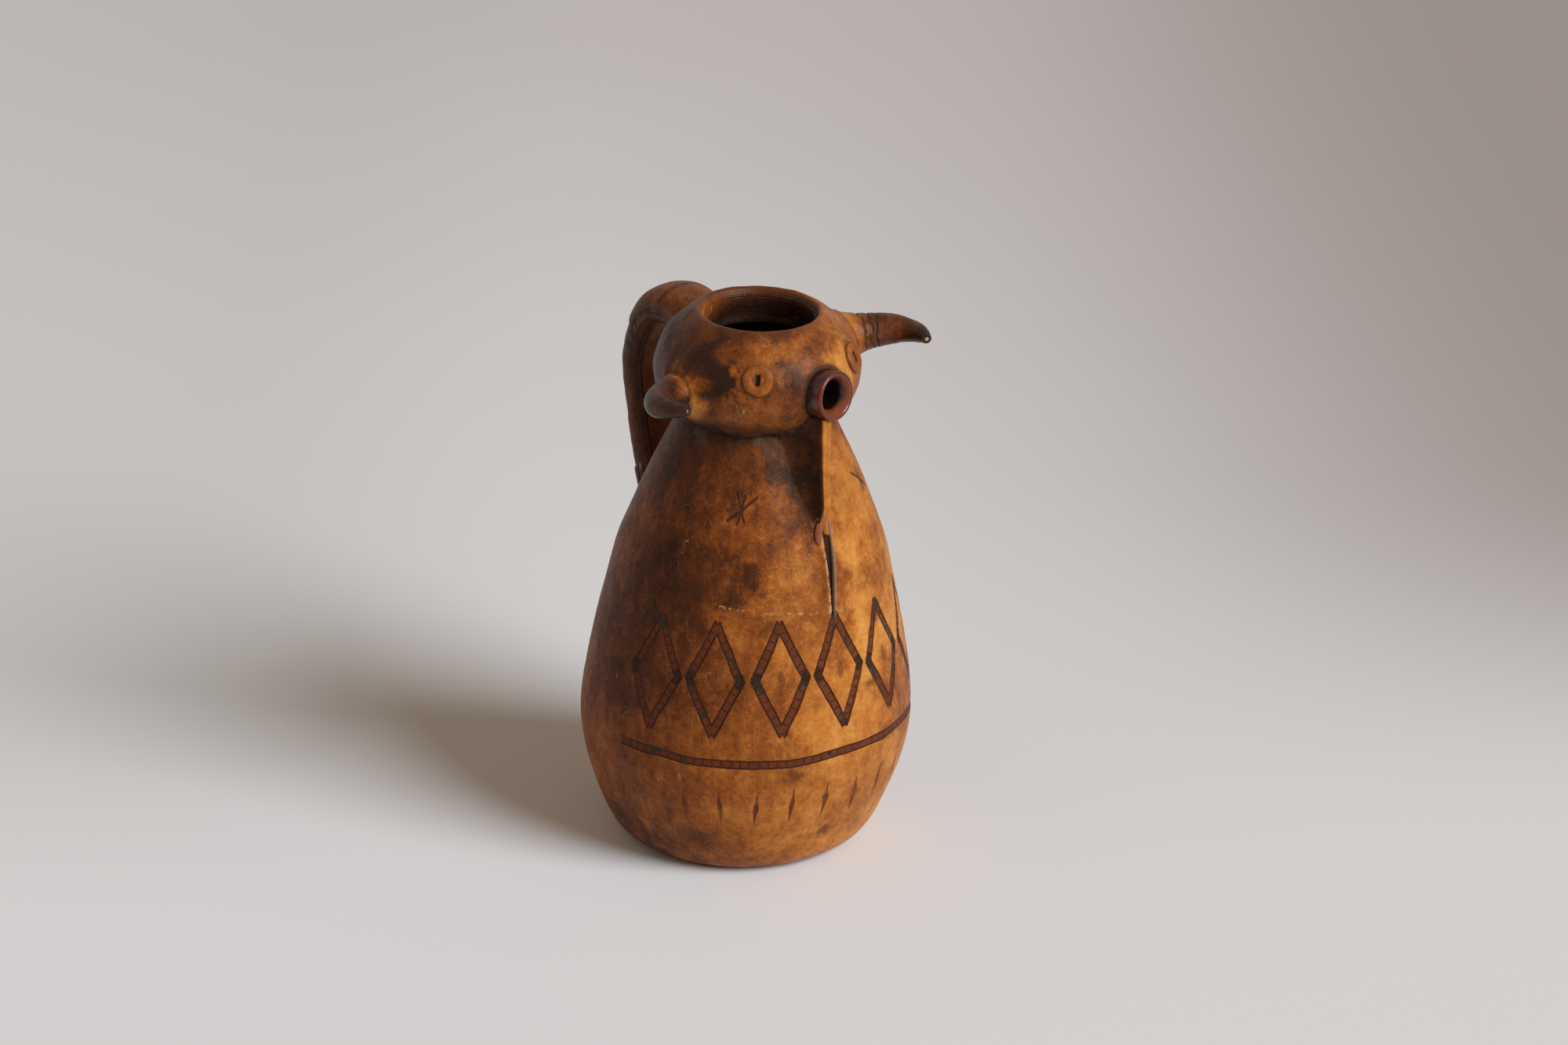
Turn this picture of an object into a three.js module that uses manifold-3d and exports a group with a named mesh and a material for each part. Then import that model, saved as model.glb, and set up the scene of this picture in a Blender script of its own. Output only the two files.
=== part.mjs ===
// A bull-shaped pitcher: a glazed earthenware jug dressed in wet-moulded leather.
// Lengths are in millimetres and angles in degrees. +Z is up, the bull looks along -Y,
// and its left side is +X. The origin is the middle of the flat base.
import * as THREE from "three";
import { mergeVertices } from "three/addons/utils/BufferGeometryUtils.js";
import Module from "manifold-3d";

const wasm = await Module();
wasm.setup();

// The turned body, measured over its leather: a radius and a height for each point of its outline.
const footRadius = 54.2;
const footHeight = 0.5;
const heelRadius = 66.5;
const heelHeight = 13;
const bellyRadius = 80;
const bellyHeight = 65;
const chestRadius = 66.9;
const chestHeight = 140;
const withersRadius = 58.9;
const withersHeight = 165;
const shoulderRadius = 49;
const shoulderHeight = 190;
const neckRadius = 34.4;
const neckHeight = 221;
// The jug leans towards the bull's front by this much for each millimetre of height.
const lean = 0.042;
// The rim nods forwards: its back is higher and its front lower by this much for each millimetre
// away from the axis, and less towards the neck.
const nod = 0.045;

// The head above the neck, over its leather, and the mouth that liquid is poured into.
const jawRadius = 46.2;
const jawHeight = 227.5;
const cheekRadius = 48.8;
const cheekHeight = 241;
const browRadius = 44.6;
const browHeight = 254.5;
const crownRadius = 36.8;
const crownHeight = 263;
const lipRadius = 29.4;
const lipHeight = 268.4;
const mouthRadius = 26.1;
const mouthHeight = 264.6;

// Thicknesses and the clearance that lies between two pieces that touch.
const hideThickness = 2.6;
const wallThickness = 5;
const gap = 0.3;

// The head hide laps down over the top of the body hide.
const neckLap = 3;

// Leather disc under the jug, which the pitcher stands on.
const baseRadius = 51;
const baseThickness = 2.6;
const floorThickness = 7;

// Leather band that lines the throat below the lip, and the clay collar that it is glued to.
const liningThickness = 2.3;
const liningDepth = 12;
const collarDepth = 14;
const collarSlope = 4;

// Glazed spout in the muzzle. Its tip is placed by reach, side and height; it looks a little
// to the bull's left and a little upwards.
const spoutReach = 65;
const spoutSide = 5.3;
const spoutHeight = 239.9;
const spoutTurn = 12;
const spoutRise = 4;
const spoutRadius = 11.7;
const spoutBore = 6.8;
const spoutLength = 26;
const spoutFlare = 2.6;
const spoutFlareDepth = 2;
const spoutEdge = 1.2;

// Dewlap: both edges of the body hide turned out and glued face to face below the spout.
const dewlapDepth = 20;
const dewlapRootHalfWidth = 9;
const dewlapEdgeRounding = 0.8;
// The dewlap is straight for this share of its depth, bends outwards until the next, and reaches
// its full root width behind the neck at the last. Its top stands inside the spout's outline.
const dewlapStraightShare = 0.45;
const dewlapBendShare = 0.95;
const dewlapRootShare = 1.2;
const dewlapBend = 0.6;
const dewlapTopShare = 0.6;
const dartFootHeight = 132;
const dartTopHeight = 180;
const dartHalfWidth = 1.7;
const dartWidestShare = 0.72;
const seamWidth = 0.3;

// Eyes: two thick leather discs with an upright slit.
const eyeAzimuth = 36;
const eyeHeight = 250.5;
const eyeRadius = 7.3;
const eyeThickness = 1.7;
const eyeTaper = 0.6;
const slitWidth = 2.2;
const slitLength = 5;

// Horns: leather sleeves on wooden pegs. Each leaves the side of the head and bends forwards.
const hornRootForward = 2;
const hornBendSide = 80;
const hornBendForward = 8;
const leftHornTipSide = 70.5;
const leftHornTipForward = 38;
const rightHornTipSide = 68.5;
const rightHornTipForward = 40.5;
const leftHornRootHeight = 244.2;
const leftHornBendHeight = 250.2;
const leftHornTipHeight = 249.7;
const rightHornRootHeight = 237;
const rightHornBendHeight = 239;
const rightHornTipHeight = 244.5;
const hornRootRadius = 9.8;
const hornTipRadius = 2.3;
const hornTaper = 1.6;
const hornRootThickness = 2.4;
const hornTipThickness = 1.1;
// Shares of the head's radius where a horn's middle line starts, and of the horn's length that the
// peg shows at the tip.
const hornStartShare = 0.75;
const hornPegShare = 0.03;

// Handle: a fired clay strap luted to the back of the jug, dressed in leather.
// Its line is given by places on the outer face: how far back and how high they are.
const handleRootHeight = 254.5;
const handleTopReach = 52;
const handleTopHeight = 258;
const handleShoulderReach = 69.8;
const handleShoulderHeight = 249.8;
const handleReach = 83.6;
const handleReachHeight = 220;
const handleElbowReach = 77;
const handleElbowHeight = 181;
const handleFootReach = 66.6;
const handleFootHeight = 150;
const handleCoreWidth = 23;
const handleCoreDepth = 7.4;
const handleCoreRounding = 3;
const handleCrown = 4;
const stripWidth = 19;
const capThickness = 1.2;
const saddleDrop = 2.5;
// Shares of the handle's length where its cap ends, and where the tab at its foot starts and ends.
const capEndShare = 0.31;
const footTabStartShare = 0.74;
const footTabEndShare = 0.89;

// How finely round things are divided.
const turnSegments = 40;
const outlineSteps = 16;
const headSteps = 12;
const spoutSegments = 24;
const hornSides = 12;
const hornStations = 9;
const handleStations = 18;
const cornerSteps = 2;
const eyeSegments = 20;

// A moved outline keeps the points that are at least this share of the depth away from it.
const leastShare = 0.97;
// A cut outline drops the points that are nearer than this to the cut.
const leastStep = 0.2;

const radians = THREE.MathUtils.degToRad;

// Colours, roughness and metalness of each finish.
const finishes = {
  hide: { color: 0x9a5b22, roughness: 0.5 },
  headHide: { color: 0x7d4a20, roughness: 0.5 },
  handleHide: { color: 0x5a3318, roughness: 0.55 },
  hornHide: { color: 0x7a4c24, roughness: 0.5 },
  glaze: { color: 0x43190f, roughness: 0.2 },
  clay: { color: 0x9c5a3a, roughness: 0.85 },
  wood: { color: 0xc9a877, roughness: 0.7 },
  eyeHide: { color: 0xa8682a, roughness: 0.5 },
};

const pitcher = new THREE.Group();

function addPiece(name, solid, finish) {
  const mesh = solid.getMesh();
  const geometry = new THREE.BufferGeometry();
  const points = new Float32Array(mesh.numVert * 3);
  for (let i = 0; i < mesh.numVert; i++) {
    points.set(mesh.vertProperties.subarray(i * mesh.numProp, i * mesh.numProp + 3), i * 3);
  }
  geometry.setAttribute("position", new THREE.BufferAttribute(points, 3));
  geometry.setIndex(new THREE.BufferAttribute(mesh.triVerts, 1));
  geometry.computeVertexNormals();
  const material = new THREE.MeshStandardMaterial({ ...finishes[finish], metalness: 0 });
  const piece = new THREE.Mesh(geometry, material);
  piece.name = name;
  pitcher.add(piece);
}

// A closed geometry as a solid that can be joined and cut.
function solidOf(geometry) {
  const bare = new THREE.BufferGeometry();
  bare.setAttribute("position", geometry.getAttribute("position"));
  bare.setIndex(geometry.getIndex());
  const merged = mergeVertices(bare, 1e-4);
  return new wasm.Manifold(
    new wasm.Mesh({
      numProp: 3,
      vertProperties: merged.attributes.position.array,
      triVerts: new Uint32Array(merged.index.array),
    }),
  );
}

// Outlines are lists of (radius, height), from the bottom up, on a smooth curve through a few.
const smooth = (points) => new THREE.SplineCurve(points.map(([r, z]) => new THREE.Vector2(r, z)));

// How near a point comes to an outline.
function distanceTo(line, point) {
  const flat = (p) => new THREE.Vector3(p.x, p.y, 0);
  const at = flat(point);
  const nearest = new THREE.Vector3();
  const distances = line.slice(1).map((end, i) => {
    const piece = new THREE.Line3(flat(line[i]), flat(end));
    return piece.closestPointToPoint(at, true, nearest).distanceTo(at);
  });
  return Math.min(...distances);
}

// The outline moved towards the inside by a depth, square to itself. In a tight bend the points
// that come too near to the outline are left out.
function inset(line, depth) {
  const moved = line.map((point, i) => {
    const before = line[Math.max(i - 1, 0)];
    const after = line[Math.min(i + 1, line.length - 1)];
    const along = after.clone().sub(before).normalize();
    return new THREE.Vector2(point.x - along.y * depth, point.y + along.x * depth);
  });
  return moved.filter((point) => distanceTo(line, point) > Math.abs(depth) * leastShare);
}

// The point where an outline crosses a height or a radius, on its stretch between two neighbours.
function crossing(line, axis, value, fromTop = false) {
  const order = line.map((_, i) => i).slice(0, -1);
  if (fromTop) {
    order.reverse();
  }
  for (const i of order) {
    const a = line[i];
    const b = line[i + 1];
    if ((a[axis] - value) * (b[axis] - value) <= 0 && a[axis] !== b[axis]) {
      const share = (value - a[axis]) / (b[axis] - a[axis]);
      return { point: a.clone().lerp(b, share), index: i };
    }
  }
  return { point: line[fromTop ? line.length - 1 : 0].clone(), index: fromTop ? line.length - 2 : -1 };
}

function above(line, height) {
  const cut = crossing(line, "y", height);
  return [cut.point, ...line.slice(cut.index + 1).filter((p) => p.y > height + leastStep)];
}

function below(line, height) {
  return above(line.map((p) => new THREE.Vector2(p.x, -p.y)).reverse(), -height)
    .map((p) => new THREE.Vector2(p.x, -p.y))
    .reverse();
}

const bodyLine = smooth([
  [footRadius, footHeight],
  [heelRadius, heelHeight],
  [bellyRadius, bellyHeight],
  [chestRadius, chestHeight],
  [withersRadius, withersHeight],
  [shoulderRadius, shoulderHeight],
  [neckRadius, neckHeight],
]).getSpacedPoints(outlineSteps);
const lapRadius = neckRadius + hideThickness + gap;
const headLine = smooth([
  [lapRadius, neckHeight - neckLap],
  [jawRadius, jawHeight],
  [cheekRadius, cheekHeight],
  [browRadius, browHeight],
  [crownRadius, crownHeight],
  [lipRadius, lipHeight],
  [mouthRadius, mouthHeight],
]).getPoints(headSteps);

const axisY = (height) => -lean * height;

// Moves a point of the upright turned form to where it lies on the leaning, nodding pitcher.
function settle(point) {
  const share = THREE.MathUtils.clamp((point.z - neckHeight) / (lipHeight - neckHeight), 0, 1);
  point.z += nod * share * point.y;
  point.y += axisY(point.z);
  return point;
}

const radiusAt = (line, height) => crossing(line, "y", height).point.x;

// A closed profile turned round the axis, leaning forwards with height.
function turned(profile, segments = turnSegments) {
  const closed = profile[0].x === 0 ? profile : [...profile, profile[0].clone()];
  const geometry = new THREE.LatheGeometry(closed, segments);
  geometry.rotateX(Math.PI / 2);
  const positions = geometry.getAttribute("position");
  for (let i = 0; i < positions.count; i++) {
    const point = settle(new THREE.Vector3().fromBufferAttribute(positions, i));
    positions.setXYZ(i, point.x, point.y, point.z);
  }
  return solidOf(geometry);
}

// Everything inside an outline that is moved inwards by a depth, or outwards where it is negative.
function block(line, depth) {
  const moved = inset(line, depth);
  return turned([
    new THREE.Vector2(0, moved[0].y),
    ...moved,
    new THREE.Vector2(0, moved[moved.length - 1].y),
  ]);
}

const bodyBlock = (depth) => block(bodyLine, depth);
const headBlock = (depth) => block(headLine.filter((p, i) => i < headLine.length - 1), depth);
const shell = (line, thickness) => turned([...line, ...inset(line, thickness).reverse()]);

// A body through rings of points, one ring for each station, closed at both ends.
function loft(rings, section) {
  const sides = section.length;
  const positions = [];
  for (const ring of rings) {
    for (const point of ring) {
      positions.push(point.x, point.y, point.z);
    }
  }
  const faces = [];
  for (let i = 0; i < rings.length - 1; i++) {
    for (let j = 0; j < sides; j++) {
      const a = i * sides + j;
      const b = i * sides + ((j + 1) % sides);
      faces.push(a, b, b + sides, a, b + sides, a + sides);
    }
  }
  const last = (rings.length - 1) * sides;
  for (const [a, b, c] of THREE.ShapeUtils.triangulateShape(section, [])) {
    faces.push(a, c, b, last + a, last + b, last + c);
  }
  const geometry = new THREE.BufferGeometry();
  geometry.setAttribute("position", new THREE.BufferAttribute(new Float32Array(positions), 3));
  geometry.setIndex(faces);
  return solidOf(geometry);
}

const circle = (sides) =>
  Array.from({ length: sides }, (_, i) => {
    const turn = (2 * Math.PI * i) / sides;
    return new THREE.Vector2(Math.cos(turn), Math.sin(turn));
  });

// A rectangle with round corners, anticlockwise. Its outer side swells in the middle by the crown.
function roundedRectangle(width, depth, rounding, steps, crown = 0) {
  const points = [];
  const corners = [
    [1, 1],
    [-1, 1],
    [-1, -1],
    [1, -1],
  ];
  corners.forEach(([sx, sy], quarter) => {
    for (let i = 0; i <= steps; i++) {
      const turn = ((quarter + i / steps) * Math.PI) / 2;
      const x = sx * (width / 2 - rounding) + rounding * Math.cos(turn);
      const y = sy * (depth / 2 - rounding) + rounding * Math.sin(turn);
      points.push(new THREE.Vector2(x, y));
    }
    if (quarter === 0 && crown > 0) {
      for (const share of [0.5, 0, -0.5]) {
        points.push(new THREE.Vector2(share * (width / 2 - rounding), depth / 2));
      }
    }
  });
  for (const point of points) {
    if (point.y > 0) {
      point.y += crown * (1 - ((2 * point.x) / width) ** 2);
    }
  }
  return points;
}

function box(x0, x1, y0, y1, z0, z1) {
  const geometry = new THREE.BoxGeometry(x1 - x0, y1 - y0, z1 - z0);
  return solidOf(geometry.translate((x0 + x1) / 2, (y0 + y1) / 2, (z0 + z1) / 2));
}

// The clay jug

const hideDepth = hideThickness + gap;
const jugBottom = baseThickness + gap;

function jugBody() {
  const outside = above(below(inset(bodyLine, hideDepth), neckHeight - gap), jugBottom);
  const floor = jugBottom + floorThickness;
  // The inside is hidden, so it takes every other point, and all of them near the neck.
  const thrown = inset(bodyLine, hideDepth + wallThickness).filter(
    (p, i, all) => i % 2 === 0 || i > all.length - 3,
  );
  const inside = above(below(thrown, neckHeight - gap), floor);
  return turned([
    new THREE.Vector2(0, jugBottom),
    ...outside,
    ...inside.reverse(),
    new THREE.Vector2(0, floor),
  ]);
}

const throatRadius = mouthRadius + liningThickness + gap;

function jugHead() {
  const outside = above(inset(headLine, hideDepth), neckHeight + gap);
  const rim = crossing(outside, "x", throatRadius, true);
  const collarFoot = lipHeight - collarDepth;
  const inner = inset(headLine, hideDepth + wallThickness);
  const inside = above(below(inner, collarFoot - collarSlope), neckHeight + gap);
  const clay = turned([
    ...outside.slice(0, rim.index + 1),
    rim.point,
    new THREE.Vector2(throatRadius, collarFoot),
    ...inside.reverse(),
  ]);
  return clay.subtract(spoutBlock(gap));
}

// The spout

const spoutTip = new THREE.Vector3(spoutSide, -spoutReach, spoutHeight);

// Turns a solid made round +Z, with its tip at the origin, to the spout's direction and place.
function placeSpout(geometry) {
  geometry.rotateX(radians(90 - spoutRise));
  geometry.rotateZ(radians(spoutTurn));
  geometry.translate(spoutTip.x, spoutTip.y, spoutTip.z);
  return solidOf(geometry);
}

function latheAlongZ(points, segments) {
  const line = points.map(([r, z]) => new THREE.Vector2(r, z));
  const closed = line[0].x === 0 ? line : [...line, line[0].clone()];
  return new THREE.LatheGeometry(closed, segments).rotateX(Math.PI / 2);
}

function spoutBlock(clearance) {
  const radius = spoutRadius + clearance;
  const past = clearance + gap;
  return placeSpout(
    latheAlongZ(
      [
        [0, -spoutLength - past],
        [radius, -spoutLength - past],
        [radius, past],
        [0, past],
      ],
      spoutSegments,
    ),
  );
}

function spout() {
  return placeSpout(
    latheAlongZ(
      [
        [spoutBore, -spoutLength],
        [spoutRadius, -spoutLength],
        [spoutRadius, -spoutEdge],
        [spoutRadius - spoutEdge / 3, -spoutEdge / 3],
        [spoutRadius - spoutEdge, 0],
        [spoutBore + spoutFlare, -spoutEdge / 3],
        [spoutBore, -spoutFlareDepth],
      ],
      spoutSegments,
    ),
  );
}

// The handle's centre line lies in the plane of front and up. Each station has its place on the
// line and the direction that points away from the jug.

const coverDepth = handleCoreDepth + 2 * (hideThickness + gap);
const coverWidth = handleCoreWidth + 2 * (hideThickness + gap);
const coverRounding = handleCoreRounding + hideThickness;

// The centre line runs half the cover's depth inside the outer face, and ends inside the jug.
function handleLine() {
  const half = coverDepth / 2;
  const rootReach = axisY(handleRootHeight) + radiusAt(headLine, handleRootHeight);
  const slant = half * Math.SQRT1_2;
  return new THREE.CatmullRomCurve3(
    [
      [rootReach - half, handleRootHeight - half],
      [handleTopReach, handleTopHeight - half],
      [handleShoulderReach - slant, handleShoulderHeight - slant],
      [handleReach - half, handleReachHeight],
      [handleElbowReach - half, handleElbowHeight],
      [handleFootReach - half, handleFootHeight],
      [handleFootReach - half - coverDepth, handleFootHeight - half - coverDepth],
    ].map(([y, z]) => new THREE.Vector3(0, y, z)),
    false,
    "centripetal",
  );
}

const handlePath = handleLine();

// A section, across and outwards, carried along the handle between two shares of its length.
function handleSweep(section, from = 0, to = 1) {
  const stations = Math.ceil((to - from) * handleStations);
  const rings = Array.from({ length: stations + 1 }, (_, i) => {
    const share = from + ((to - from) * i) / stations;
    const at = handlePath.getPointAt(share);
    const along = handlePath.getTangentAt(share);
    return section.map((p) => new THREE.Vector3(-p.x, at.y - along.z * p.y, at.z + along.y * p.y));
  });
  return loft(rings, section);
}

function coreSection(grow) {
  const width = handleCoreWidth + 2 * grow;
  const depth = handleCoreDepth + 2 * grow;
  return roundedRectangle(width, depth, handleCoreRounding + grow, cornerSteps, handleCrown);
}

function coverSection(grow) {
  const width = coverWidth + 2 * grow;
  return roundedRectangle(width, coverDepth + 2 * grow, coverRounding + grow, cornerSteps, handleCrown);
}

function handleCore() {
  return handleSweep(coreSection(0)).subtract(headBlock(hideThickness)).subtract(bodyBlock(hideThickness));
}

// The strip lies on the core's inner face, between the turned edges of the cover. Its section is
// a plain rectangle from one depth to another.
const stripTop = -handleCoreDepth / 2 - gap;
const stripFoot = -coverDepth / 2;

function plainSection(halfWidth, from, to) {
  return [
    new THREE.Vector2(-halfWidth, from),
    new THREE.Vector2(halfWidth, from),
    new THREE.Vector2(halfWidth, to),
    new THREE.Vector2(-halfWidth, to),
  ];
}

function handleCover() {
  const bed = stripTop + coverRounding / 2;
  const channel = plainSection(stripWidth / 2 + gap, stripFoot - coverRounding, bed);
  return handleSweep(coverSection(0))
    .subtract(handleSweep(coreSection(gap)))
    .subtract(handleSweep(channel))
    .subtract(headBlock(-gap))
    .subtract(bodyBlock(-gap));
}

function handleStrip() {
  return handleSweep(plainSection(stripWidth / 2, stripFoot, stripTop))
    .subtract(headBlock(-gap))
    .subtract(bodyBlock(-gap));
}

// A thin saddle of leather over the outer face and most of both sides of the cover.
function saddle(from, to) {
  const inner = -coverDepth / 2 + coverRounding - saddleDrop;
  return handleSweep(coverSection(gap + capThickness), from, to)
    .subtract(handleSweep(coverSection(gap)))
    .subtract(handleSweep(plainSection(coverWidth, inner - coverDepth, inner)))
    .subtract(headBlock(-gap))
    .subtract(bodyBlock(-gap));
}

// The leather over the body and the head

function dewlap() {
  const front = axisY(neckHeight) - neckRadius - dewlapDepth;
  const back = axisY(neckHeight);
  const half = hideThickness + seamWidth / 2;
  const round = dewlapEdgeRounding;
  const root = dewlapRootHalfWidth;
  const top = spoutHeight - spoutRadius * dewlapTopShare;
  const bottom = dartFootHeight;
  const straight = front + dewlapDepth * dewlapStraightShare;
  const bend = front + dewlapDepth * dewlapBendShare;
  const full = front + dewlapDepth * dewlapRootShare;
  const section = new THREE.Shape();
  section.moveTo(half - round, front);
  section.quadraticCurveTo(half, front, half, front + round);
  section.lineTo(half, straight);
  section.quadraticCurveTo(half + dewlapBend, bend, root, full);
  section.lineTo(root, back);
  section.lineTo(-root, back);
  section.lineTo(-root, full);
  section.quadraticCurveTo(-half - dewlapBend, bend, -half, straight);
  section.lineTo(-half, front + round);
  section.quadraticCurveTo(-half, front, round - half, front);
  const geometry = new THREE.ExtrudeGeometry(section, {
    depth: top - bottom,
    bevelEnabled: false,
    curveSegments: 3,
  });
  geometry.translate(0, 0, bottom);
  return solidOf(geometry)
    .subtract(bodyBlock(hideThickness / 2))
    .subtract(headBlock(-gap))
    .subtract(spoutBlock(gap));
}

// The open slit below the dewlap, where the two edges part: a pointed oval seen from the front.
function dartOpening() {
  const middle = dartFootHeight + dartWidestShare * (dartTopHeight - dartFootHeight);
  const shape = new THREE.Shape();
  shape.moveTo(0, dartFootHeight);
  shape.quadraticCurveTo(dartHalfWidth, middle, 0, dartTopHeight);
  shape.quadraticCurveTo(-dartHalfWidth, middle, 0, dartFootHeight);
  const geometry = new THREE.ExtrudeGeometry(shape, {
    depth: 2 * bellyRadius,
    bevelEnabled: false,
    curveSegments: 6,
  });
  geometry.rotateX(Math.PI / 2);
  return solidOf(geometry);
}

const farAway = 2 * (bellyRadius + neckHeight);

function bodyHide() {
  const seam = seamWidth / 2;
  const line = below(bodyLine, neckHeight - gap);
  return shell(line, hideThickness)
    .add(dewlap())
    .subtract(box(-seam, seam, -farAway, 0, dartFootHeight, farAway))
    .subtract(box(-seam, seam, 0, farAway, -farAway, farAway))
    .subtract(dartOpening())
    .subtract(handleSweep(coreSection(gap)));
}

function headHide() {
  let hide = shell(headLine, hideThickness)
    .subtract(bodyBlock(-gap))
    .subtract(handleSweep(coreSection(gap)))
    .subtract(spoutBlock(gap));
  for (const side of [1, -1]) {
    hide = hide.subtract(hornLoft(side, -gap));
  }
  return hide;
}

function mouthLining() {
  const top = mouthHeight - gap;
  const outerTop = inset(headLine, hideThickness).pop().y - gap;
  const bottom = top - liningDepth;
  return turned([
    new THREE.Vector2(mouthRadius, bottom),
    new THREE.Vector2(mouthRadius + liningThickness, bottom),
    new THREE.Vector2(mouthRadius + liningThickness, Math.min(top, outerTop)),
    new THREE.Vector2(mouthRadius, top),
  ]);
}

function baseDisc() {
  return turned([
    new THREE.Vector2(0, 0),
    new THREE.Vector2(baseRadius, 0),
    new THREE.Vector2(baseRadius, baseThickness),
    new THREE.Vector2(0, baseThickness),
  ]);
}

// Horns. The centre line starts inside the head and ends at the tip.

function hornCurve(side) {
  const [root, bend, tip] =
    side > 0
      ? [leftHornRootHeight, leftHornBendHeight, leftHornTipHeight]
      : [rightHornRootHeight, rightHornBendHeight, rightHornTipHeight];
  const [tipSide, tipForward] =
    side > 0 ? [leftHornTipSide, leftHornTipForward] : [rightHornTipSide, rightHornTipForward];
  const start = hornStartShare * radiusAt(headLine, root);
  const at = (sideways, forward, height) =>
    new THREE.Vector3(side * sideways, axisY(height) - forward, height);
  return new THREE.QuadraticBezierCurve3(
    at(start, hornRootForward, root),
    at(hornBendSide, hornBendForward, bend),
    at(tipSide, tipForward, tip),
  );
}

// The horn's body at a depth below its outer surface: a share of the sleeve's thickness and an offset.
function hornLoft(side, offset, sleeveShare = 1, end = 1) {
  const curve = hornCurve(side);
  const section = circle(hornSides);
  const rings = Array.from({ length: hornStations + 1 }, (_, i) => {
    const share = (end * i) / hornStations;
    const left = 1 - share ** hornTaper;
    const radius = hornTipRadius + (hornRootRadius - hornTipRadius) * left;
    const thickness = hornTipThickness + (hornRootThickness - hornTipThickness) * left;
    const size = radius - sleeveShare * thickness - offset;
    const at = curve.getPoint(share);
    const along = curve.getTangent(share);
    const up = new THREE.Vector3(0, 0, 1).cross(along).normalize();
    const across = along.clone().cross(up);
    const place = (p) => at.clone().addScaledVector(across, -size * p.x).addScaledVector(up, size * p.y);
    return section.map(place);
  });
  return loft(rings, section);
}

function hornPeg(side) {
  return hornLoft(side, gap).subtract(headBlock(hideThickness));
}

function hornSleeve(side) {
  return hornLoft(side, 0, 0, 1 - hornPegShare)
    .subtract(hornLoft(side, 0))
    .subtract(headBlock(-gap));
}

// Eyes. A disc stands square to the head hide, and its back is cut to the hide's curve.

function eye(side) {
  const radius = radiusAt(headLine, eyeHeight);
  const slope = (radiusAt(headLine, eyeHeight + 1) - radiusAt(headLine, eyeHeight - 1)) / 2;
  const tilt = Math.atan(-slope);
  const depth = 3 * eyeThickness;
  const length = eyeThickness + depth;
  const disc = new THREE.CylinderGeometry(eyeRadius - eyeTaper, eyeRadius, length, eyeSegments);
  disc.rotateX(Math.PI / 2);
  disc.translate(0, 0, (eyeThickness - depth) / 2);
  const slit = new THREE.BoxGeometry(slitWidth, slitLength, 4 * depth);
  const turn = radians(side * eyeAzimuth);
  const at = settle(new THREE.Vector3(radius * Math.sin(turn), -radius * Math.cos(turn), eyeHeight));
  const place = (geometry) => {
    geometry.rotateX(Math.PI / 2 - tilt);
    geometry.rotateZ(turn);
    geometry.translate(at.x, at.y, at.z);
    return solidOf(geometry);
  };
  return place(disc).subtract(place(slit)).subtract(headBlock(-gap));
}

addPiece("base_disc", baseDisc(), "hide");
addPiece("jug_body", jugBody(), "clay");
addPiece("jug_head", jugHead(), "clay");
addPiece("spout", spout(), "glaze");
addPiece("body_hide", bodyHide(), "hide");
addPiece("head_hide", headHide(), "headHide");
addPiece("mouth_lining", mouthLining(), "headHide");
addPiece("handle_core", handleCore(), "clay");
addPiece("handle_cover", handleCover(), "handleHide");
addPiece("handle_strip", handleStrip(), "handleHide");
addPiece("handle_cap", saddle(0, capEndShare), "handleHide");
addPiece("handle_foot_tab", saddle(footTabStartShare, footTabEndShare), "handleHide");
for (const [word, side] of [
  ["left", 1],
  ["right", -1],
]) {
  addPiece("eye_" + word, eye(side), "eyeHide");
  addPiece("horn_peg_" + word, hornPeg(side), "wood");
  addPiece("horn_sleeve_" + word, hornSleeve(side), "hornHide");
}

export default pitcher;
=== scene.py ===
"""A bull-shaped leather pitcher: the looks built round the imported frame.

Shapes are worked out in millimetres and put into meshes in metres. The bull looks along -Y, its
left side is +X, +Z is up, and the origin is the middle of the flat base.
"""
import math

import bmesh
import bpy
import numpy as np
from mathutils import Matrix, Vector, noise


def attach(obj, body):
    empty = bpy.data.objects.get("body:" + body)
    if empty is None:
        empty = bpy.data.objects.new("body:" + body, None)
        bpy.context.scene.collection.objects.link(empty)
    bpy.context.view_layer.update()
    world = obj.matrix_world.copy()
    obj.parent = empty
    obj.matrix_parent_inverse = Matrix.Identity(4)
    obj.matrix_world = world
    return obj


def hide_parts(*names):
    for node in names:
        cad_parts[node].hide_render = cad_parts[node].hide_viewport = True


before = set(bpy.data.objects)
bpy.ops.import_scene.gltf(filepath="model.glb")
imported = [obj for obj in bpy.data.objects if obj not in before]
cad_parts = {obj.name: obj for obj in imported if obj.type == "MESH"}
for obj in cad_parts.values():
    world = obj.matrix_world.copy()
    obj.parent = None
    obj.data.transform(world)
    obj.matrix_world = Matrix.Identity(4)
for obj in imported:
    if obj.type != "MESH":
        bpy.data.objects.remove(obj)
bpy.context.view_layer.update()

MM = 0.001

# The turned form, measured over the leather, and how it leans and nods.
FOOT_HEIGHT = 0.5
HEAD_FOOT = 218
NECK_HEIGHT = 221
LIP_HEIGHT = 268.4
BODY_OUTLINE = [
    (54.2, FOOT_HEIGHT), (66.5, 13), (80, 65), (66.9, 140), (58.9, 165), (49, 190), (34.4, NECK_HEIGHT),
]
HEAD_OUTLINE = [
    (37.3, HEAD_FOOT), (46.2, 227.5), (48.8, 241), (44.6, 254.5), (36.8, 263), (29.4, LIP_HEIGHT),
    (26.1, 264.6),
]
THROAT_LAP = [(25.8, 262.4), (25.75, 259.4)]
LEAN = 0.042
NOD = 0.045
HIDE = 2.6
GAP = 0.3
DEEPEST_DENT = 2.3

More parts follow.
